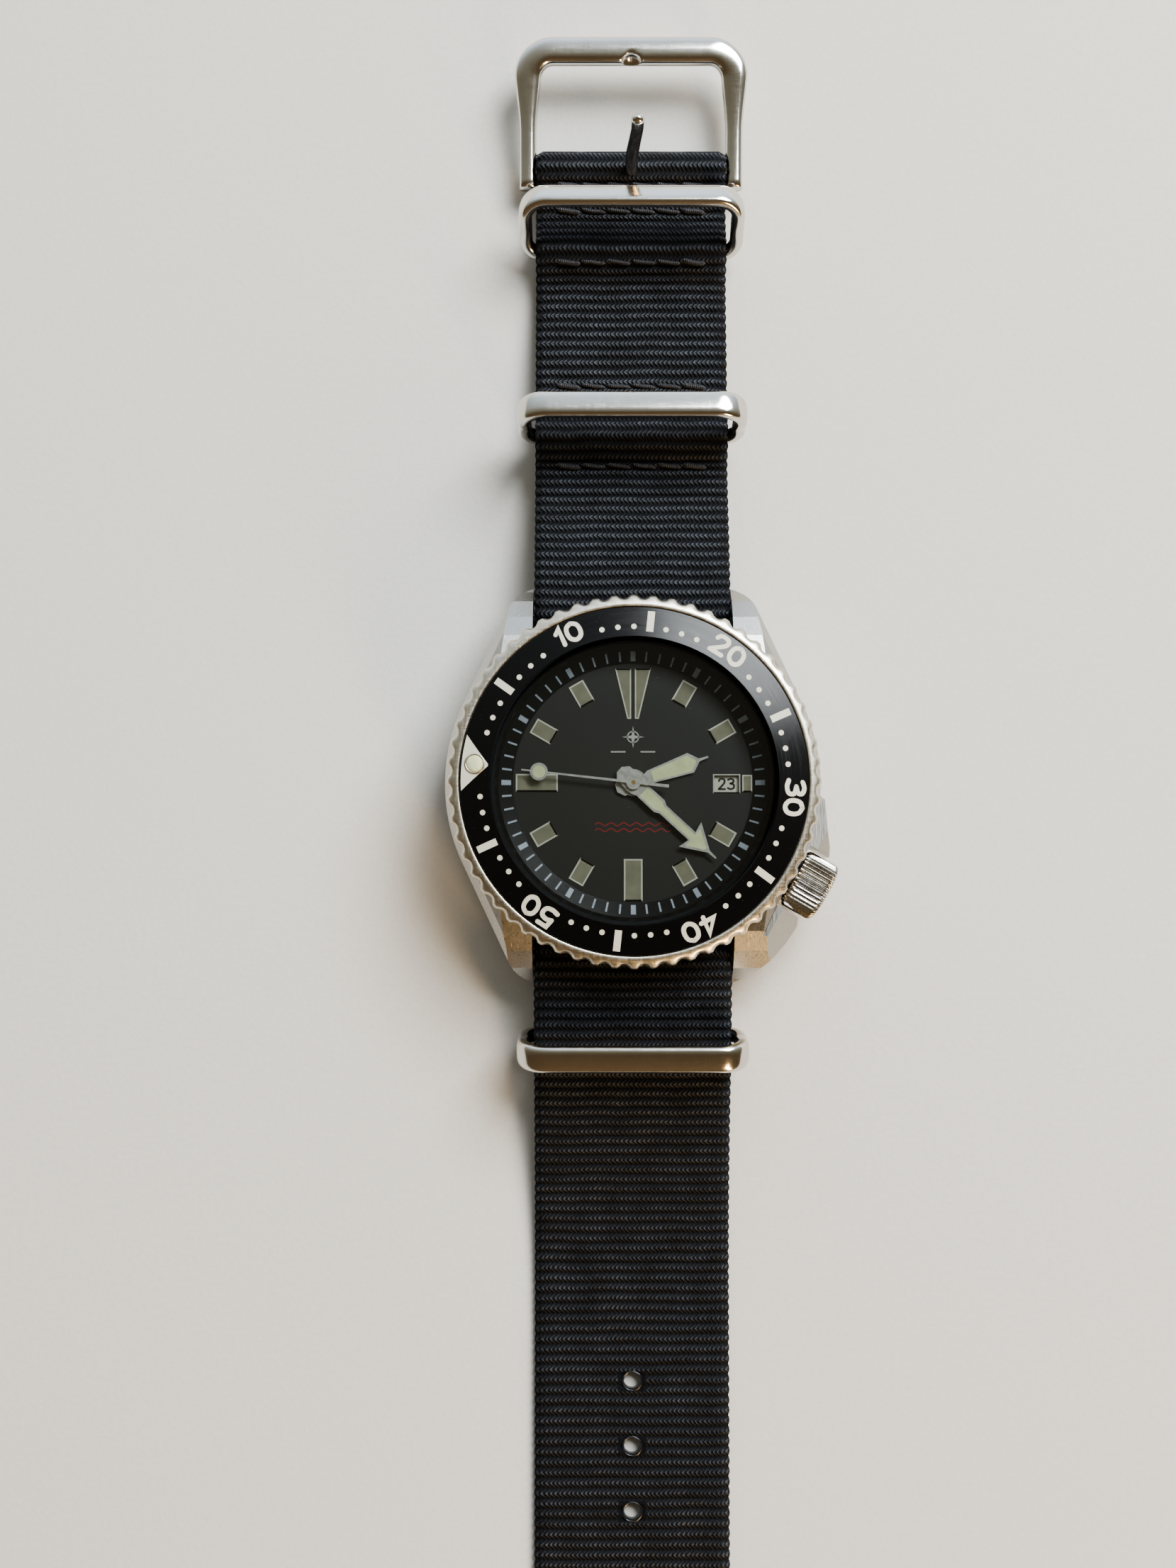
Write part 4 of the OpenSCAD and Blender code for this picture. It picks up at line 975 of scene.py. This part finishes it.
def tapered(low, high, half_low, half_high, rows=8, columns=12):
    """A patch from one radius to another, centred on its minute."""
    made = []
    for i in range(rows + 1):
        t = i / rows
        half = half_low + (half_high - half_low) * t
        made.append([(half * (-1 + 2 * j / columns), low + (high - low) * t) for j in range(columns + 1)])
    return made


for minute in range(60):
    plates = Plates()
    if minute == 0:
        plates.grid(tapered(15.95 - PEARL_R, 18.85 - PEARL_R, 0.12, 3.1))
        lay = on_insert(0, PEARL_R)
    elif minute % 10 == 5:
        plates.grid(tapered(16.3 - 17.4, 18.6 - 17.4, 0.39, 0.39, 4, 3))
        lay = on_insert(minute, 17.4)
    elif minute % 10 == 0:
        plates.digits(str(minute), 0, 0, 1.92, 0.5, 0.36, 1.28)
        lay = on_insert(minute, 17.55)
    elif minute % 10 in (1, 9):
        continue
    else:
        plates.disc(0, 0, 0.3)
        lay = on_insert(minute, 16.8)
    slab(f"insert_mark_{minute}", plates.points, plates.faces, lay, "insert_print", "bezel")

# the lume pip sits in a dark ring inside the zero mark
lay = on_insert(0, PEARL_R)
loops = []
for k in range(48):
    a = math.tau * k / 48
    loops.append([lay((1.02 + 0.13 * math.cos(t)) * math.cos(a), (1.02 + 0.13 * math.cos(t)) * math.sin(a),
                      0.02 + 0.13 * math.sin(t)) for t in (math.tau * m / 12 for m in range(12))])
make("pearl_ring", *skin(loops, closed_path=True), "worn", "bezel", 60.0)
loops = []
for r, z in ((0.94, -0.2), (0.94, 0.05), (0.86, 0.14), (0.66, 0.21), (0.4, 0.25), (0.15, 0.26)):
    loops.append([lay(r * math.cos(a), r * math.sin(a), z) for a in (math.tau * m / 36 for m in range(36))])
pearl = make("pearl_dome", *skin(loops), "pearl", "bezel", 60.0)
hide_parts("bezel_pearl")

# ---------------------------------------------------------------- crown

CROWN_AXIS = Vector(joints["crown_turn"]["axis"])
CROWN_AT = joint_at("crown_turn")
CROWN_R = 3.4
CROWN_IN, CROWN_LEN = 20.7, 4.2
FLUTES = 36
FLUTE_DEPTH = 0.3

across_axis = CROWN_AXIS.cross(Vector((0, 0, 1)))
profile = [(0.0, 0.02), (1.9, 0.0), (2.85, 0.0), (3.1, 0.1), (3.32, 0.32), (CROWN_R, 0.6), (CROWN_R, 2.1),
           (CROWN_R, CROWN_LEN - 0.7), (3.32, CROWN_LEN - 0.42), (3.1, CROWN_LEN - 0.24),
           (2.8, CROWN_LEN - 0.12), (2.3, CROWN_LEN - 0.06), (1.2, CROWN_LEN - 0.02), (0.0, CROWN_LEN)]
loops = []
for r, out in profile:
    share = min(1.0, max(0.0, (r - 3.05) / 0.27))
    loop = []
    for k in range(FLUTES * 8):
        a = math.tau * k / (FLUTES * 8)
        bite = FLUTE_DEPTH * share * (0.5 + 0.5 * math.cos(FLUTES * a)) ** 0.9
        reach = max(r - bite, 0.02)
        point = CROWN_AT + CROWN_AXIS * (CROWN_IN + out) + across_axis * (reach * math.cos(a))
        loop.append((point.x, point.y, point.z + reach * math.sin(a)))
    loops.append(loop)
crown = make("crown_knurl", *skin(loops), "crown_steel", "crown", 50.0)
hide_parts("crown")

# ---------------------------------------------------------------- dial, rehaut and date printing

DIAL_Z = node_box("dial")[1].z
MARKER_Z = node_box("hour_markers")[1].z
DATE_Z = node_box("date_ring")[1].z
DATE_R = 10.4
TICK_R = 14.05
RING_IN, RING_SLOPE = 13.35, 0.406  # inner radius and slope of the chapter ring's face


def on_dial(z, turn=0.0, out=0.0):
    """Lays a print flat at a height: turned, and moved outward along its own second axis."""
    c, s = math.cos(turn), math.sin(turn)

    def lay(u, v, height):
        v += out
        return (u * c + v * s, -u * s + v * c, z + height)
    return lay


def on_rehaut(minute):
    """Lays a print on the chapter ring's slope, about its middle radius."""
    def lay(u, v, height):
        r = TICK_R + v
        a = math.radians(90 - 6 * minute) - u / r
        return (r * math.cos(a), r * math.sin(a), DIAL_Z + 0.2 + (r - RING_IN) * RING_SLOPE + height)
    return lay


for minute in range(60):
    plates = Plates()
    half = 0.27 if minute % 5 == 0 else 0.1
    plates.grid(tapered(-0.5, 0.55, half, half * 1.06, 2, 2))
    slab(f"minute_tick_{minute}", plates.points, plates.faces, on_rehaut(minute), "tick", "case",
         -0.02, 0.02)

outlines = Plates()
square = [(-0.825, -1.225), (0.825, -1.225), (0.825, 1.225), (-0.825, 1.225)]
for hour in (1, 2, 4, 5, 7, 8, 10, 11):
    lay = on_dial(0, math.radians(30 * hour), 11.45)
    outlines.ribbon([lay(u, v, 0)[:2] for u, v in square + square[:2]], 0.17, caps=False)
outlines.ribbon([(-0.95, -13.05), (0.95, -13.05), (0.95, -8.55), (-0.95, -8.55), (-0.95, -13.05),
                 (0.95, -13.05)], 0.17, caps=False)
outlines.ribbon([(-12.95, -0.9), (-8.45, -0.9), (-8.45, 0.9), (-12.95, 0.9), (-12.95, -0.9), (-8.45, -0.9)],
                0.17, caps=False)
outlines.ribbon([(12.2, -0.95), (13.15, -0.95), (13.15, 0.8), (12.2, 0.8), (12.2, -0.95), (13.15, -0.95)],
                0.15, caps=False)
for side in (1, -1):
    outlines.ribbon([(side * x, y) for x, y in ((0.28, 12.65), (1.9, 12.65), (0.58, 7.2), (0.28, 7.2),
                                                (0.28, 12.65), (1.9, 12.65))], 0.15, caps=False)
slab("marker_outlines", outlines.points, outlines.faces, on_dial(MARKER_Z), "frame", "case", -0.1, 0.012)

window = Plates()
window.ribbon([(8.95, -1.1), (11.85, -1.1), (11.85, 0.9), (8.95, 0.9), (8.95, -1.1), (11.85, -1.1)], 0.13,
              caps=False)
slab("date_window_edge", window.points, window.faces, on_dial(DIAL_Z), "print", "case", -0.1, 0.02)

emblem = Plates()
emblem.ring(0, 5.1, 0.62, 0.13)
star = [(0, 1.25), (-0.17, 0.17), (-1.25, 0), (-0.17, -0.17),
        (0, -1.25), (0.17, -0.17), (1.25, 0), (0.17, 0.17)]
emblem.polygon([(x, y + 5.1) for x, y in star])
for side in (1, -1):
    emblem.ribbon([(side * 0.9, 3.45), (side * 2.4, 3.45)], 0.16)
slab("emblem", emblem.points, emblem.faces, on_dial(DIAL_Z), "print", "case", -0.02, 0.05)
wave = Plates()
for low in (-5.25, -4.6):
    wave.ribbon([(x / 10, low + 0.17 * math.sin(x * 0.45)) for x in range(-42, 43)], 0.14)
slab("red_wave", wave.points, wave.faces, on_dial(DIAL_Z), "red", "case", -0.02, 0.02)

for day in range(1, 32):
    figures = Plates()
    figures.digits(str(day), 0, 0, 1.15, 0.22, 0.26)
    turn = math.tau * (day - 23) / 31
    c, s = math.cos(turn), math.sin(turn)
    flat = [((DATE_R + u) * c - (v - 0.1) * s, (DATE_R + u) * s + (v - 0.1) * c) for u, v in figures.points]
    slab(f"date_{day}", flat, figures.faces, on_dial(DATE_Z), "black_print", "date_ring", -0.01, 0.015)

# ---------------------------------------------------------------- studio


def paper():
    """White table paper with a soft fibre."""
    g = Graph("paper")
    fibre = g.noise(g.place((1, 1, 1)), 1.6, 5.0)
    g.set("Base Color", g.mix(fibre, rgba(0.64, 0.612, 0.565), rgba(0.71, 0.685, 0.64)))
    g.set("Roughness", 0.85)
    g.bump(fibre, 0.03)
    return g.material


M["paper"] = paper()
floor_mesh = bpy.data.meshes.new("floor")
reach = 1.6
floor_mesh.from_pydata([(-reach, -reach, 0), (reach, -reach, 0), (reach, reach, 0), (-reach, reach, 0)], [],
                       [(0, 1, 2, 3)])
floor_mesh.materials.append(M["paper"])
floor = bpy.data.objects.new("floor", floor_mesh)
bpy.context.scene.collection.objects.link(floor)
floor.location.z = -0.00005


def soft_light(name, at, size, power, colour, toward=(0, -0.03, 0)):
    """A rectangular lamp that faces a place."""
    data = bpy.data.lights.new(name, "AREA")
    data.shape = "RECTANGLE"
    data.size, data.size_y = size
    data.energy = power
    data.color = colour
    lamp = bpy.data.objects.new(name, data)
    lamp.location = at
    lamp.rotation_euler = (Vector(toward) - Vector(at)).to_track_quat("-Z", "Y").to_euler()
    bpy.context.scene.collection.objects.link(lamp)


soft_light("window_light", (0.34, 0.44, 0.6), (0.45, 0.45), 12.0, (0.93, 0.97, 1.0))
soft_light("room_light", (0.3, -0.55, 0.28), (0.12, 0.3), 3.0, (1.0, 0.68, 0.34))

# the room: bright and bluish towards the window past 12 o'clock, dim overhead, warm behind 6 o'clock
world = bpy.data.worlds.new("room")
bpy.context.scene.world = world
world.use_nodes = True
tree = world.node_tree
coords = tree.nodes.new("ShaderNodeTexCoord")
split = tree.nodes.new("ShaderNodeSeparateXYZ")
sweep = tree.nodes.new("ShaderNodeMapRange")
sweep.inputs[1].default_value, sweep.inputs[2].default_value = -1.0, 1.0
room = tree.nodes.new("ShaderNodeValToRGB")
ROOM = ((0.0, (0.2, 0.13, 0.07)), (0.3, (0.12, 0.085, 0.05)), (0.44, (0.17, 0.14, 0.09)),
        (0.56, (0.25, 0.24, 0.19)), (0.68, (0.38, 0.38, 0.33)), (0.82, (0.72, 0.82, 0.9)),
        (1.0, (1.4, 1.6, 1.8)))
ramp = room.color_ramp
for place, colour in ROOM[1:-1]:
    ramp.elements.new(place)
for element, (place, colour) in zip(ramp.elements, ROOM):
    element.position = place
    element.color = rgba(*colour)
tree.links.new(coords.outputs["Generated"], split.inputs[0])
tree.links.new(split.outputs[1], sweep.inputs[0])
tree.links.new(sweep.outputs[0], room.inputs[0])
tree.links.new(room.outputs[0], tree.nodes["Background"].inputs["Color"])
tree.nodes["Background"].inputs["Strength"].default_value = 0.9

camera_data = bpy.data.cameras.new("camera")
camera_data.lens = 42.3
camera_data.clip_start = 0.01
camera = bpy.data.objects.new("camera", camera_data)
camera.location = (-0.00501, -0.01085, 0.2141)
camera.rotation_euler = (math.radians(3), 0, 0)
bpy.context.scene.collection.objects.link(camera)
bpy.context.scene.camera = camera
bpy.context.scene.view_settings.look = "AgX - Medium High Contrast"
